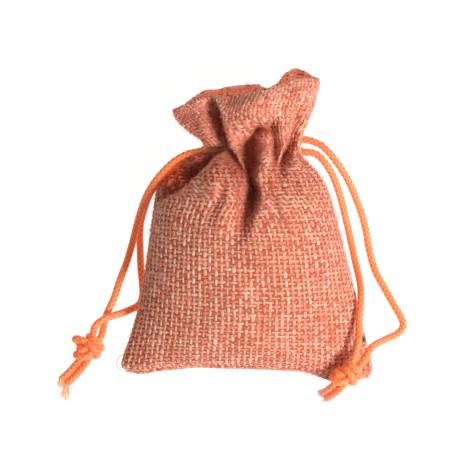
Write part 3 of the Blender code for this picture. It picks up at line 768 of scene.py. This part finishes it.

# Patches of the front painted darker and redder: painted shade in the folds and on the heading.
# Columns: X, height, half_x, half_cloth, strength. Past a strength of 1, they also glow: painted light.
SHADE_PATCHES = (
    (4.6, 73, 5.5, 5, 0.8), (2.4, 66, 2.8, 9, 0.7), (11.4, 68, 3.2, 9, 0.9), (8, 60, 3, 6, 0.5),
    (0.6, 51, 6.5, 11, 0.75), (-4.5, 60, 3, 8, 0.5), (-8.6, 78, 2.6, 8, 0.4), (-15, 82, 7.5, 15, 0.4),
    (-3, 83, 8, 12, 0.25), (-20.4, 57, 7.5, 8.5, 2.3), (-13.2, 64.5, 4.2, 5, 1.9), (-11, 74, 3.5, 5, 0.6),
)

# Waves of the edges. Columns: sides, X, lift, half_width, and the heights where it is whole and gone.
EDGE_WAVES = (
    ("front", -12.5, 1.5, 6, 90, 74),
    ("front", -6, -0.5, 4, 90, 74),
    ("front", 14.2, 1, 6, 90, 74),
    ("back", -12, 1.7, 6, 90, 74),
    ("back", -5, 1.1, 10, 90, 74),
    ("back", 6.6, -1.6, 4.5, 90, 74),
    ("back", 13.4, 2.9, 6.6, 90, 74),
    ("both", -28, -0.7, 6, 0, 10),
    ("both", -13, 0.4, 8, 0, 6),
    ("both", 24.5, -1.9, 10, 0, 12),
)
SEAM_ROOM = 3.0
SHARPNESS = 4.0
LUMP_HEIGHT = 0.30
LUMP_PERIOD_X = 17.0
LUMP_PERIOD_UP = 23.0
LUMP_RISE = (6.0, 20.0)
LUMP_FALL = (54.0, 66.0)
FLOOR_ROOM = 0.5
BASE_SAMPLES = 721


def smooth_read(knots, values, at):
    """Read a smooth curve through (knots, values) at the given place: a cubic without overshoot."""
    knots = np.asarray(knots, dtype=float)
    values = np.asarray(values, dtype=float)
    steps = np.diff(knots)
    rises = np.diff(values) / steps
    flat = rises[:-1] * rises[1:] <= 0.0
    safe = np.where(flat, 1.0, rises[:-1] + rises[1:])
    middle = np.where(flat, 0.0, 2.0 * rises[:-1] * rises[1:] / safe)
    slopes = np.concatenate((rises[:1], middle, rises[-1:]))
    cell = int(np.clip(np.searchsorted(knots, at) - 1, 0, len(steps) - 1))
    t = (at - knots[cell]) / steps[cell]
    start = (1.0 + 2.0 * t) * (1.0 - t) ** 2 * values[cell]
    end = t * t * (3.0 - 2.0 * t) * values[cell + 1]
    pull = steps[cell] * (t * (1.0 - t) ** 2 * slopes[cell] - t * t * (1.0 - t) * slopes[cell + 1])
    return start + end + pull


def bump(distance, *reach):
    """Return a round bump: 1 in its middle, 0 beyond its reach to the left and the right."""
    reach = np.where(distance < 0.0, reach[0], reach[-1])
    return 0.5 + 0.5 * np.cos(math.pi * np.clip(np.abs(distance) / reach, 0.0, 1.0))


def ease(value, low, high):
    """Return 0 below low and 1 above high, with a soft step between."""
    t = np.clip((value - low) / (high - low), 0.0, 1.0)
    return t * t * (3.0 - 2.0 * t)


def half_loop(cloth, front):
    """Return one side of a loop from its left seam to its right one: points with their depth."""
    knots, *columns = zip(*LOOPS)
    sizes = [smooth_read(knots, column, cloth) for column in columns]
    left, right, y_left, y_front, y_right, y_back, z_left, z_right, z_middle, half, crown, seat = sizes
    side = 1.0 if front else -1.0
    angle = np.linspace(math.pi, 0.0, BASE_SAMPLES)
    across = np.cos(angle)
    x = 0.5 * (left + right) + 0.5 * (right - left) * across
    arch = z_middle * (1.0 - across ** 2) + 0.5 * (z_left + z_right) * across ** 2
    arch = arch + 0.5 * (z_right - z_left) * across
    z = arch + side * half * np.abs(np.sin(angle)) ** (2.0 / (crown if front else seat))
    y = 0.25 * (y_left + y_front + y_right + y_back)
    y = y + 0.5 * (y_right - y_left) * np.cos(side * angle)
    y = y + 0.5 * (y_front - y_back) * np.sin(side * angle)
    y = y + 0.25 * (y_left + y_right - y_front - y_back) * np.cos(2.0 * side * angle)

    along = np.concatenate(([0.0], np.cumsum(np.hypot(np.diff(x), np.diff(z)))))
    keep = ease(np.minimum(along, along[-1] - along), 0.0, SEAM_ROOM)
    depth = np.zeros_like(x)
    shift = np.zeros_like(x)
    for name, reach_left, reach_right, slip, *stations in FRONT_FOLDS if front else BACK_FOLDS:
        heights, places, depths = zip(*stations)
        if heights[0] < cloth <= heights[-1]:
            valley = np.interp(smooth_read(heights, places, cloth), x, along)
            shape = smooth_read(heights, depths, cloth) * keep * bump(along - valley, reach_left, reach_right)
            depth = (depth ** SHARPNESS + shape ** SHARPNESS) ** (1.0 / SHARPNESS)
            shift = shift + slip * shape
    for name, place, height, half_x, half_cloth, deepest in DENTS if front else ():
        depth = depth + deepest * keep * (bump(x - place, half_x) * bump(cloth - height, half_cloth))
    lump = np.sin(2.0 * math.pi * x / LUMP_PERIOD_X) * math.cos(2.0 * math.pi * cloth / LUMP_PERIOD_UP)
    lump_room = ease(cloth, *LUMP_RISE) * (1.0 - ease(cloth, *LUMP_FALL))
    depth = depth + LUMP_HEIGHT * lump_room * keep * lump
    for sides, place, lift, half_width, whole, gone in EDGE_WAVES:
        if sides in ("both", "front" if front else "back"):
            strength = 1.0 - ease(abs(cloth - whole), 0.0, abs(gone - whole))
            y = y + lift * strength * keep * bump(x - place, half_width)
    return np.column_stack((x + shift, y, np.maximum(z - side * depth, FLOOR_ROOM), depth))


# %% [markdown]
# ## The cloth as a grid
#
# The yarns need a place for any point of the flat cloth, so each side is worked out once on a fine
# grid: rows up the cloth, columns from seam to seam at equal distances. Beyond the bottom fold the
# rows go round it to meet the other side. Beyond the top edge they turn in and down, as a hem does.

# %% Grid
GRID_STEP = 0.5
GRID_COLUMNS = 280
FOLD_ROWS = 4
HEM_RADIUS = 0.5
HEM_DEPTH = 5.0
NECK_HEIGHT = 70.0
POINTS, NORMALS, DEPTHS = 1, 2, 3


def side_grid(front):
    """Return one side's cloth heights, points and depths."""
    heights = np.linspace(0.0, RIM, round(RIM / GRID_STEP) + 1)
    rows = np.array([evenly(half_loop(height, front), GRID_COLUMNS) for height in heights])
    return heights, rows[:, :, :3], rows[:, :, 3:]


def add_bottom_fold(heights, points, other):
    """Put rows before the first one that go halfway round the bottom fold."""
    middle = 0.5 * (points[0] + other[0])
    radius = np.linalg.norm(points[0] - other[0], axis=1, keepdims=True) * 0.5
    toward = unit(points[0] - other[0] + 1e-9)
    outward = np.array((0.0, -1.0, 0.0))
    angles = [0.5 * math.pi * step / FOLD_ROWS for step in range(FOLD_ROWS, 0, -1)]
    extra = [middle + radius * (toward * math.cos(angle) + outward * math.sin(angle)) for angle in angles]
    extra_heights = [-float(radius.mean()) * angle for angle in angles]
    return np.concatenate((extra_heights, heights)), np.concatenate((extra, points))


def add_hem(heights, points, normals):
    """Put rows after the last one that turn in over the top edge and run back down inside."""
    upward = unit(points[-1] - points[-2])
    edge, inward = points[-1], -normals[-1]
    extra, extra_normals, extra_heights = [], [], []
    for step in range(1, FOLD_ROWS + 1):
        angle = math.pi * step / FOLD_ROWS
        extra.append(edge + HEM_RADIUS * (inward * (1.0 - math.cos(angle)) + upward * math.sin(angle)))
        extra_normals.append(-inward * math.cos(angle) + upward * math.sin(angle))
        extra_heights.append(RIM + HEM_RADIUS * angle)
    turned = extra_heights[-1]
    for step in range(1, round(HEM_DEPTH / GRID_STEP) + 1):
        below = len(heights) - 1 - step
        extra.append(points[below] - normals[below] * 2.0 * HEM_RADIUS)
        extra_normals.append(-normals[below])
        extra_heights.append(turned + GRID_STEP * step)
    heights = np.concatenate((heights, extra_heights))
    return heights, np.concatenate((points, extra)), np.concatenate((normals, extra_normals))


SIDES = {}
bare = {front: side_grid(front) for front in (True, False)}
for front in (True, False):
    heights, points, depths = bare[front]
    heights, points = add_bottom_fold(heights, points, bare[not front][POINTS])
    normals = unit(np.cross(np.gradient(points, axis=1), np.gradient(points, axis=0)))
    heights, points, normals = add_hem(heights, points, normals if front else -normals)
    extra = len(points) - len(depths) - FOLD_ROWS
    depths = np.concatenate((depths[:1].repeat(FOLD_ROWS, 0), depths, depths[-1:].repeat(extra, 0)))
    SIDES[front] = (heights, points, normals, depths)
neck_row = int(np.searchsorted(heights, NECK_HEIGHT))
print("grid:", points.shape, "cloth round the neck, mm:",
      round(sum(line_length(side[POINTS][neck_row]) for side in SIDES.values()), 1))


def on_cloth(front, across, height, field=POINTS):
    """Read the grid's points, normals or depths at places across and up the cloth."""
    heights = SIDES[front][0]
    values = SIDES[front][field]
    column = np.clip((np.asarray(across) / (2.0 * HALF_WIDTH) + 0.5) * GRID_COLUMNS, 0.0, GRID_COLUMNS)
    row = np.interp(height, heights, np.arange(len(heights)))
    left = np.minimum(column.astype(int), GRID_COLUMNS - 1)
    low = np.minimum(row.astype(int), len(heights) - 2)
    s = (column - left)[:, None]
    t = (row - low)[:, None]
    near = values[low, left] * (1.0 - s) + values[low, left + 1] * s
    far = values[low + 1, left] * (1.0 - s) + values[low + 1, left + 1] * s
    return near * (1.0 - t) + far * t


# %% [markdown]
# ## The ground of the cloth
#
# The gaps between the yarns of imitation burlap are in shade. A very thin dark red-brown sheet in
# the middle of the weave paints that shade, and it is seen only in the gaps. At the back's turned
# hem it also glows a little: painted light.

# %% Ground sheet
GROUND_THICK = 0.16
GROUND_COLUMN_STEP = 4
GROUND_ROW_STEP = 2
# Heights where the back's hem starts to glow: painted light.
PAINTED_GLOW_RISE = (RIM, RIM + 1.0)
NO_LIGHT = (0.0, 0.0, 0.0, 1.0)
PAINTED_GLOW_COLOUR = paint(156, 70, 48)
GROUND_PAINTED_GLOW_SHARE = 0.6


def ground_mesh():
    """Join both sides at the seams and the bottom into one mesh."""
    shapes = {}
    for front, (heights, points, *rest) in SIDES.items():
        rows = sorted(set(range(0, len(points), GROUND_ROW_STEP)) | {len(points) - 1})
        shapes[front] = to_world(points[rows][:, ::GROUND_COLUMN_STEP])
    front_columns = shapes[True].shape[1]
    rings = np.concatenate((shapes[True], shapes[False][:, -2:0:-1]), axis=1)
    row_count, size = rings.shape[:2]
    here = np.arange(row_count * size).reshape(row_count, size)
    after = np.roll(here, -1, axis=1)
    faces = np.stack((here[:-1], after[:-1], after[1:], here[1:]), axis=-1).reshape(-1, 4).tolist()
    for index in range(front_columns - 1):
        corners = (index + 1, index, -index % size, size - index - 1)
        faces.append(tuple(dict.fromkeys(corners)))
    glow = np.zeros((row_count, size))
    # The back's hem glows a little: painted light.
    glow[:, front_columns:] = ease(heights[rows], *PAINTED_GLOW_RISE)[:, None]
    mesh = bpy.data.meshes.new("sack_ground")
    mesh.from_pydata(rings.reshape(-1, 3).tolist(), [], faces)
    give_field(mesh, "glow", glow.ravel())
    mesh.shade_smooth()
    return mesh


def ground_material():
    """A dark sheet of painted shade, seen only in the gaps of the weave."""
    material, graph = new_material("painted_gap_shade")
    tuft = graph.noise(graph.node("ShaderNodeTexCoord", output="Object"), 900.0, 4.0)
    # Painted light: the sheet glows at the back's hem.
    painted_glow_share = graph.attribute("glow") * GROUND_PAINTED_GLOW_SHARE
    # The sheet's dark red-brown colour is painted shade for the gaps.
    return finished(
        material, graph, Base_Color=graph.mixed(paint(140, 58, 36), paint(196, 112, 80), tuft),
        Roughness=0.95, Normal=graph.relief(tuft, 0.6, 0.0001),
        Emission_Color=graph.mixed(NO_LIGHT, PAINTED_GLOW_COLOUR, painted_glow_share), Emission_Strength=1.0)


ground = show("sack_ground", ground_mesh())
ground.data.materials.append(ground_material())
wall = ground.modifiers.new("thickness", "SOLIDIFY")
wall.thickness = GROUND_THICK * MM
wall.offset = 0.0
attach(ground, "root")
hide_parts("sack")
print("ground sheet:", len(ground.data.polygons), "faces before its thickness")

# %% [markdown]
# ## The weave
#
# Imitation burlap is a plain weave: every thread goes over one and under the next. Pale warp runs up
# the sack, redder weft across. A picture of a weave is flat at its edge, so every yarn is real here.
# Guide lines lie flat on the cloth and count crossings; the tree lifts each yarn with a cosine of
# that count, and gives it a flattened round section in the cloth's own directions.

# %% Yarn guides
WARP_COUNT = 44
WEFT_PITCH = 1.25
WARP_PITCH = 2.0 * HALF_WIDTH / WARP_COUNT
POINTS_PER_CROSSING = 3
MOST_FILL = 0.42
WANDER = 0.20
# A yarn's width and tone change along it: how much, and over how long a stretch.
WIDTH_CHANGES = ((0.24, 3.4), (0.22, 1.3))
TONE_CHANGES = ((0.20, 4.0), (0.40, 1.2))
MIDDLE_TONE = 0.5
TONE_RANGE = 0.06
# How much paler the back's yarns are painted near its top edge: painted light.
BACK_RIM_PAINTED_LIGHT = 0.45
BACK_RIM_LIGHT_RISE = (74.0, 80.0)
# The most painted light a patch of the front gives.
MOST_PAINTED_GLOW = 1.0
WEAVE_SEED = 7

weave_draws = np.random.default_rng(WEAVE_SEED)


def soft_noise(places, period):
    """Return smooth random values of about -1 to 1 along a line, changing over one period."""
    low, high = float(np.min(places)), float(np.max(places))
    knots = np.arange(math.floor(low / period) - 1, math.ceil(high / period) + 3)
    values = weave_draws.uniform(-1.0, 1.0, len(knots))
    where = places / period - knots[0]
    cell = where.astype(int)
    t = ease(where - cell, 0.0, 1.0)
    return values[cell] * (1.0 - t) + values[cell + 1] * t


def changing(value, run, changes):
    """Let a value change along a yarn."""
    for share, period in changes:
        value = value + share * soft_noise(run, period)
    return value


def warp_guides(front):
    """Lay the warp of one side: lines up the cloth, from the bottom fold over the top edge."""
    low, high = SIDES[front][0][[0, -1]].tolist()
    height = np.linspace(low, high, round((high - low) / WEFT_PITCH * POINTS_PER_CROSSING) + 1)
    for index in range(WARP_COUNT):
        across = -HALF_WIDTH + (index + 0.5) * WARP_PITCH + WANDER * soft_noise(height, 6.0)
        yield index, across, height, height / WEFT_PITCH - 0.5 + index


def weft_guides(front):
    """Lay the weft of one side: lines from seam to seam."""
    low, high = SIDES[front][0][[0, -1]].tolist()
    across = np.linspace(-HALF_WIDTH, HALF_WIDTH, WARP_COUNT * POINTS_PER_CROSSING + 1)
    for index in range(math.ceil(low / WEFT_PITCH - 0.5), math.floor(high / WEFT_PITCH - 0.5) + 1):
        height = (index + 0.5) * WEFT_PITCH + WANDER * soft_noise(across, 7.0)
        yield index, across, height, (across + HALF_WIDTH) / WARP_PITCH - 0.5 + index


def blush_at(points, height):
    """Return how strongly painted shade darkens points of the front."""
    total = np.zeros(len(points))
    for place, cloth, half_x, half_cloth, strength in SHADE_PATCHES:
        total = total + strength * bump(points[:, 0] - place, half_x) * bump(height - cloth, half_cloth)
    return total


def lay_yarns(name, front, kind, guides):
    """Turn guides into a guide mesh that knows the cloth's directions and each yarn's size."""
    lines, rows = [], []
    aside, upward = kind["gap"]
    for index, across, height, crossing in guides:
        points = on_cloth(front, across, height)
        normals = unit(on_cloth(front, across, height, NORMALS))
        gap = on_cloth(front, across + aside, height + upward)
        gap = gap - on_cloth(front, across - aside, height - upward)
        run = run_along(points)
        width = np.minimum(kind["half_width"], MOST_FILL * np.linalg.norm(gap, axis=1))
        width = width * changing(1.0, run, WIDTH_CHANGES)
        tone = changing(MIDDLE_TONE + TONE_RANGE * weave_draws.uniform(-1.0, 1.0), run, TONE_CHANGES)
        if front:
            # Painted shade on the front; past 1 it also gives painted light.
            blush = blush_at(points, height)
            glow = np.clip(blush - 1.0, 0.0, MOST_PAINTED_GLOW)
        else:
            blush = np.zeros(len(points))
            # The back's hem glows a little: painted light.
            glow = ease(height, *PAINTED_GLOW_RISE)
            # Painted light: the back's yarns near the top edge are made paler.
            tone = tone + BACK_RIM_PAINTED_LIGHT * ease(height, *BACK_RIM_LIGHT_RISE)
        lines.append(to_world(points))
        rows.append({
            "up": normals, "side": unit(np.cross(normals, unit(np.gradient(points, axis=0)))),
            "crossing": crossing, "half_width": width * MM, "tone": np.clip(tone, 0.0, 1.0),
            "yarn": np.full(len(points), float(index)), "run": run,
            "depth": on_cloth(front, across, height, DEPTHS)[:, 0],
            "blush": np.minimum(blush, 1.0), "glow": glow,
        })
    return guide_mesh(name, lines, {key: [row[key] for row in rows] for key in rows[0]})


# %% [markdown]
# ## Yarn colours
#
# Both yarns are a mix of dyed fibres, so each changes along its length between cream, salmon and
# red. The guide's tone picks the colour. Streaks of single fibres wind round the yarn, raised a
# little, which gives the twist. Yarns deep in a fold and in listed patches of the front are painted
# darker and redder, as painted shade. Where a glow is set, in some of those patches and at the back's
# hem, one side of a yarn glows a little: painted light.

# %% Yarn material
WARP_TONES = ((0, 208, 104, 80), (0.25, 224, 143, 117), (0.6, 234, 169, 143), (1, 243, 200, 174))
WEFT_TONES = ((0, 193, 70, 48), (0.25, 216, 114, 88), (0.6, 228, 147, 119), (1, 241, 188, 158))
FADED_DYE = paint(216, 166, 150)
FRESH_DYE = paint(232, 112, 78)
# Colour of the painted shade for yarns deep in a fold.
FOLD_SHADE_COLOUR = paint(172, 48, 22)
FOLD_SHADE_SHARE = 0.78
# Colour of the painted shade in the patches.
PATCH_SHADE_COLOUR = paint(188, 62, 30)
MOST_PATCH_SHADE = 0.7
TWIST_PITCH = 1.3
TWIST_FIBRES = 3.0


def yarn_material(name, tones):
    """Mixed fibres twisted into a yarn."""
    material, graph = new_material(name)
    tone, run, yarn, around = (graph.attribute(field) for field in ("tone", "run", "yarn", "around"))
    twisted = around + run / TWIST_PITCH
    place = graph.node("ShaderNodeCombineXYZ", {0: run * 0.55, 1: twisted * 5.0, 2: yarn * 3.7})
    streak = graph.noise(place, 1.6, 3.0)
    colour = graph.ramp(tone + (streak - 0.5) * 0.75, tones)
    drift = graph.node("ShaderNodeCombineXYZ", {0: run * 0.35, 1: yarn * 5.3, 2: 7.0})
    dyed = graph.noise(drift, 1.0, 2.0)
    faded = graph.maths("MAXIMUM", (dyed - 0.52) * 3.0, 0.0)
    fresh = graph.maths("MAXIMUM", (0.46 - dyed) * 3.0, 0.0)
    colour = graph.mixed(colour, FADED_DYE, graph.maths("MINIMUM", faded, 0.55))
    colour = graph.mixed(colour, FRESH_DYE, graph.maths("MINIMUM", fresh, 0.5))
    # Painted shade: the deeper a yarn lies in a fold, the darker and redder it is.
    depth_range = {"Value": graph.attribute("depth"), "From Min": 0.8, "From Max": 6.5}
    fold_shade = graph.node("ShaderNodeMapRange", depth_range)
    colour = graph.mixed(colour, FOLD_SHADE_COLOUR, fold_shade * FOLD_SHADE_SHARE)
    # Painted shade: patches of the front are mixed toward a darker red.
    blush = graph.attribute("blush") * (1.15 - streak)
    colour = graph.mixed(colour, PATCH_SHADE_COLOUR, graph.maths("MINIMUM", blush, MOST_PATCH_SHADE))
    # Painted light: where a glow is set, one side of each yarn glows a little.
    outer = graph.maths("SINE", around * (2.0 * math.pi))
    painted_glow_share = graph.maths("MAXIMUM", graph.attribute("glow") * outer, 0.0) * tone * 2.0
    fibre = graph.maths("SINE", twisted * (2.0 * math.pi * TWIST_FIBRES))
    return finished(
        material, graph, Base_Color=colour, Roughness=0.82, Sheen_Weight=0.3, Sheen_Roughness=0.5,
        Normal=graph.relief(fibre * 0.5 + streak * 1.5, 0.5, 0.00008),
        Emission_Color=graph.mixed(NO_LIGHT, PAINTED_GLOW_COLOUR, painted_glow_share), Emission_Strength=1.0)


# %% Yarn kinds and their tree
YARN_HALF_THICKNESS = 0.18
YARN_SIDES = 8


def yarn(name, tones, half_width, gap, crimp):
    """Describe one kind of yarn. Half the gap to the next yarn is given across and up the cloth."""
    values = {"Crimp": crimp * MM, "Half thickness": YARN_HALF_THICKNESS * MM, "Sides": YARN_SIDES,
              "Material": yarn_material(name, tones)}
    return {"half_width": half_width, "gap": gap, "values": values}


WARP = yarn("warp_yarn", WARP_TONES, 0.42, (0.5 * WARP_PITCH, 0.0), 0.19)
WEFT = yarn("weft_yarn", WEFT_TONES, 0.36, (0.0, 0.5 * WEFT_PITCH), -0.18)


def yarn_tree():
    """Build the tree that turns flat guide lines into interlaced yarn."""
    graph, given, line = start_tree("interlaced yarn", WARP["values"])
    skin = sweep(graph, line, given["Sides"], 1.0, 0.0)
    angle = graph.read("around") * (2.0 * math.pi)
    wave = graph.maths("COSINE", graph.read("crossing") * math.pi)
    sideways = graph.maths("COSINE", angle) * graph.read("half_width")
    upward = graph.maths("SINE", angle) * given["Half thickness"] + wave * given["Crimp"]
    side, up = graph.read("side", "FLOAT_VECTOR"), graph.read("up", "FLOAT_VECTOR")
    offset = graph.vector("ADD", {0: graph.vector("SCALE", {"Vector": side, "Scale": sideways}),
                                  1: graph.vector("SCALE", {"Vector": up, "Scale": upward})})
    skin = graph.node("GeometryNodeSetPosition", {"Geometry": skin, "Offset": offset})
    return end_tree(graph, skin, given["Material"])


YARN_TREE = yarn_tree()
print("yarns:", len(YARN_TREE.nodes), "nodes in their tree")

# %% Weave both sides
for front, side in ((True, "_front"), (False, "_back")):
    warp, weft = list(warp_guides(front)), list(weft_guides(front))
    for label, kind, guides in (("warp", WARP, warp), ("weft", WEFT, weft)):
        name = "sack_" + label + side
        guide = lay_yarns(name + "_guide", front, kind, guides)
        grow(name, guide, YARN_TREE, kind["values"])

# %% [markdown]
# ## Fuzz, frayed threads and a stray loop
#
# Fuzz lies over the whole cloth and is thickest in the drawn neck, where the yarns rub. A few yarn
# ends have worked out of the top edge, and one thread has pulled into a loop at a bottom corner.

# %% Fuzz
FUZZ_COUNTS = {True: 4300, False: 1700}
FUZZ_LENGTH = (0.7, 2.8)
FUZZ_RADIUS = (0.018, 0.036)
FUZZ_LIFT = (0.40, 0.85)
FUZZ_ROOT = 0.25
FUZZ_BEND = 0.9
FUZZ_STEPS = ((0.0, 0.0), (0.35, 1.0), (1.0, 0.7))
FUZZ_TONE = (0.30, 0.95)
NECK_SHARE = 0.40
NECK_ACROSS = (2.0, 13.0)
NECK_UP = (64.0, 8.0)
NECK_DARKER = 0.32
RIM_ROOM = 2.0


def cloth_fuzz(front, count):
    """Return fibres that lie over one side of the cloth, with their radii and tones."""
    in_neck = draws.random(count) < NECK_SHARE
    across = draws.uniform(-HALF_WIDTH, HALF_WIDTH, count)
    across = np.where(in_neck, draws.normal(*NECK_ACROSS, count), across)
    height = draws.uniform(0.0, RIM, count)
    height = np.clip(np.where(in_neck, draws.normal(*NECK_UP, count), height), 0.0, RIM - RIM_ROOM)
    length = draws.uniform(*FUZZ_LENGTH, count)
    turn = draws.uniform(0.0, 2.0 * math.pi, count)
    bend = draws.normal(0.0, FUZZ_BEND, count)
    lift = draws.uniform(*FUZZ_LIFT, count)
    steps = []
    for share, rise in FUZZ_STEPS:
        x = np.clip(across + length * share * np.cos(turn + bend * share), -HALF_WIDTH, HALF_WIDTH)
        y = height + length * share * np.sin(turn + bend * share)
        out = unit(on_cloth(front, x, y, NORMALS))
        steps.append(on_cloth(front, x, y) + out * (FUZZ_ROOT + (lift - FUZZ_ROOT) * rise)[:, None])
    tones = draws.uniform(*FUZZ_TONE, count) - NECK_DARKER * in_neck
    return np.stack(steps, axis=1), draws.uniform(*FUZZ_RADIUS, count), tones


for front, count in FUZZ_COUNTS.items():
    name = "sack_fuzz" + ("_front" if front else "_back")
    grow_fibres(name, "sack_cloth", *cloth_fuzz(front, count))

# %% Frayed threads at the top edge
# Columns: front, low and high (its limits across), count of thread ends, shortest and longest reach.
FRAYED_STRETCHES = (
    (False, 17, 31, 50, 0.2, 1.2),
    (False, 14, 18.5, 12, 0.5, 1.7),
    (False, 26, 29, 8, 0.5, 1.6),
    (False, 0, 5, 8, 0.4, 1.3),
    (True, -34, 34, 50, 0.1, 0.6),
    (False, -34, 34, 50, 0.1, 0.6),
)
THREAD_POINTS = 5
THREAD_RADIUS = (0.03, 0.08)
THREAD_TONE = (0.2, 1.0)
THREAD_ROOT = 0.6
THREAD_OUT = 0.2


def frayed_threads(front, low, high, count, shortest, longest):
    """Return thread ends that stick out over the top edge."""
    across = draws.uniform(low, high, count)
    edge = np.full(count, RIM - THREAD_ROOT)
    root = on_cloth(front, across, edge)
    up = unit(root - on_cloth(front, across, np.full(count, RIM - 3.0)))
    out = unit(on_cloth(front, across, edge, NORMALS))
    side = np.cross(up, out)
    reach = draws.uniform(shortest, longest, (count, 1))
    lean = draws.normal(0.0, 0.6, (count, 1))
    curl = draws.normal(0.0, 1.3, (count, 1))
    lift = draws.normal(0.15, 0.3, (count, 1))
    steps = []
    for share in np.linspace(0.0, 1.0, THREAD_POINTS):
        aside = side * (lean * share + curl * share ** 2)
        start = root + THREAD_OUT * out + (reach + THREAD_ROOT) * share * up
        steps.append(start + reach * (aside + out * lift * share))
    return np.stack(steps, axis=1)


threads = np.concatenate([frayed_threads(*row) for row in FRAYED_STRETCHES])
thread_radii = draws.uniform(*THREAD_RADIUS, len(threads))
thread_tones = draws.uniform(*THREAD_TONE, len(threads))
grow_fibres("rim_threads", "sack_cloth", threads, thread_radii, thread_tones)

# %% Stray loop
STRAY_LOOP = ((-33.6, 6.9, 4.2), (-34.7, 6.1, 4.5), (-35.4, 5, 4.3), (-35.5, 3.9, 3.8),
              (-35, 2.9, 3.4), (-34, 2.4, 3.1))
STRAY_STEP = 0.4
STRAY_RADIUS = 0.11
STRAY_TONE = 0.5
loop_line = smooth_line(STRAY_LOOP, STRAY_STEP)[None]
grow_fibres("stray_loop", "sack_cloth", loop_line, [STRAY_RADIUS], [STRAY_TONE])
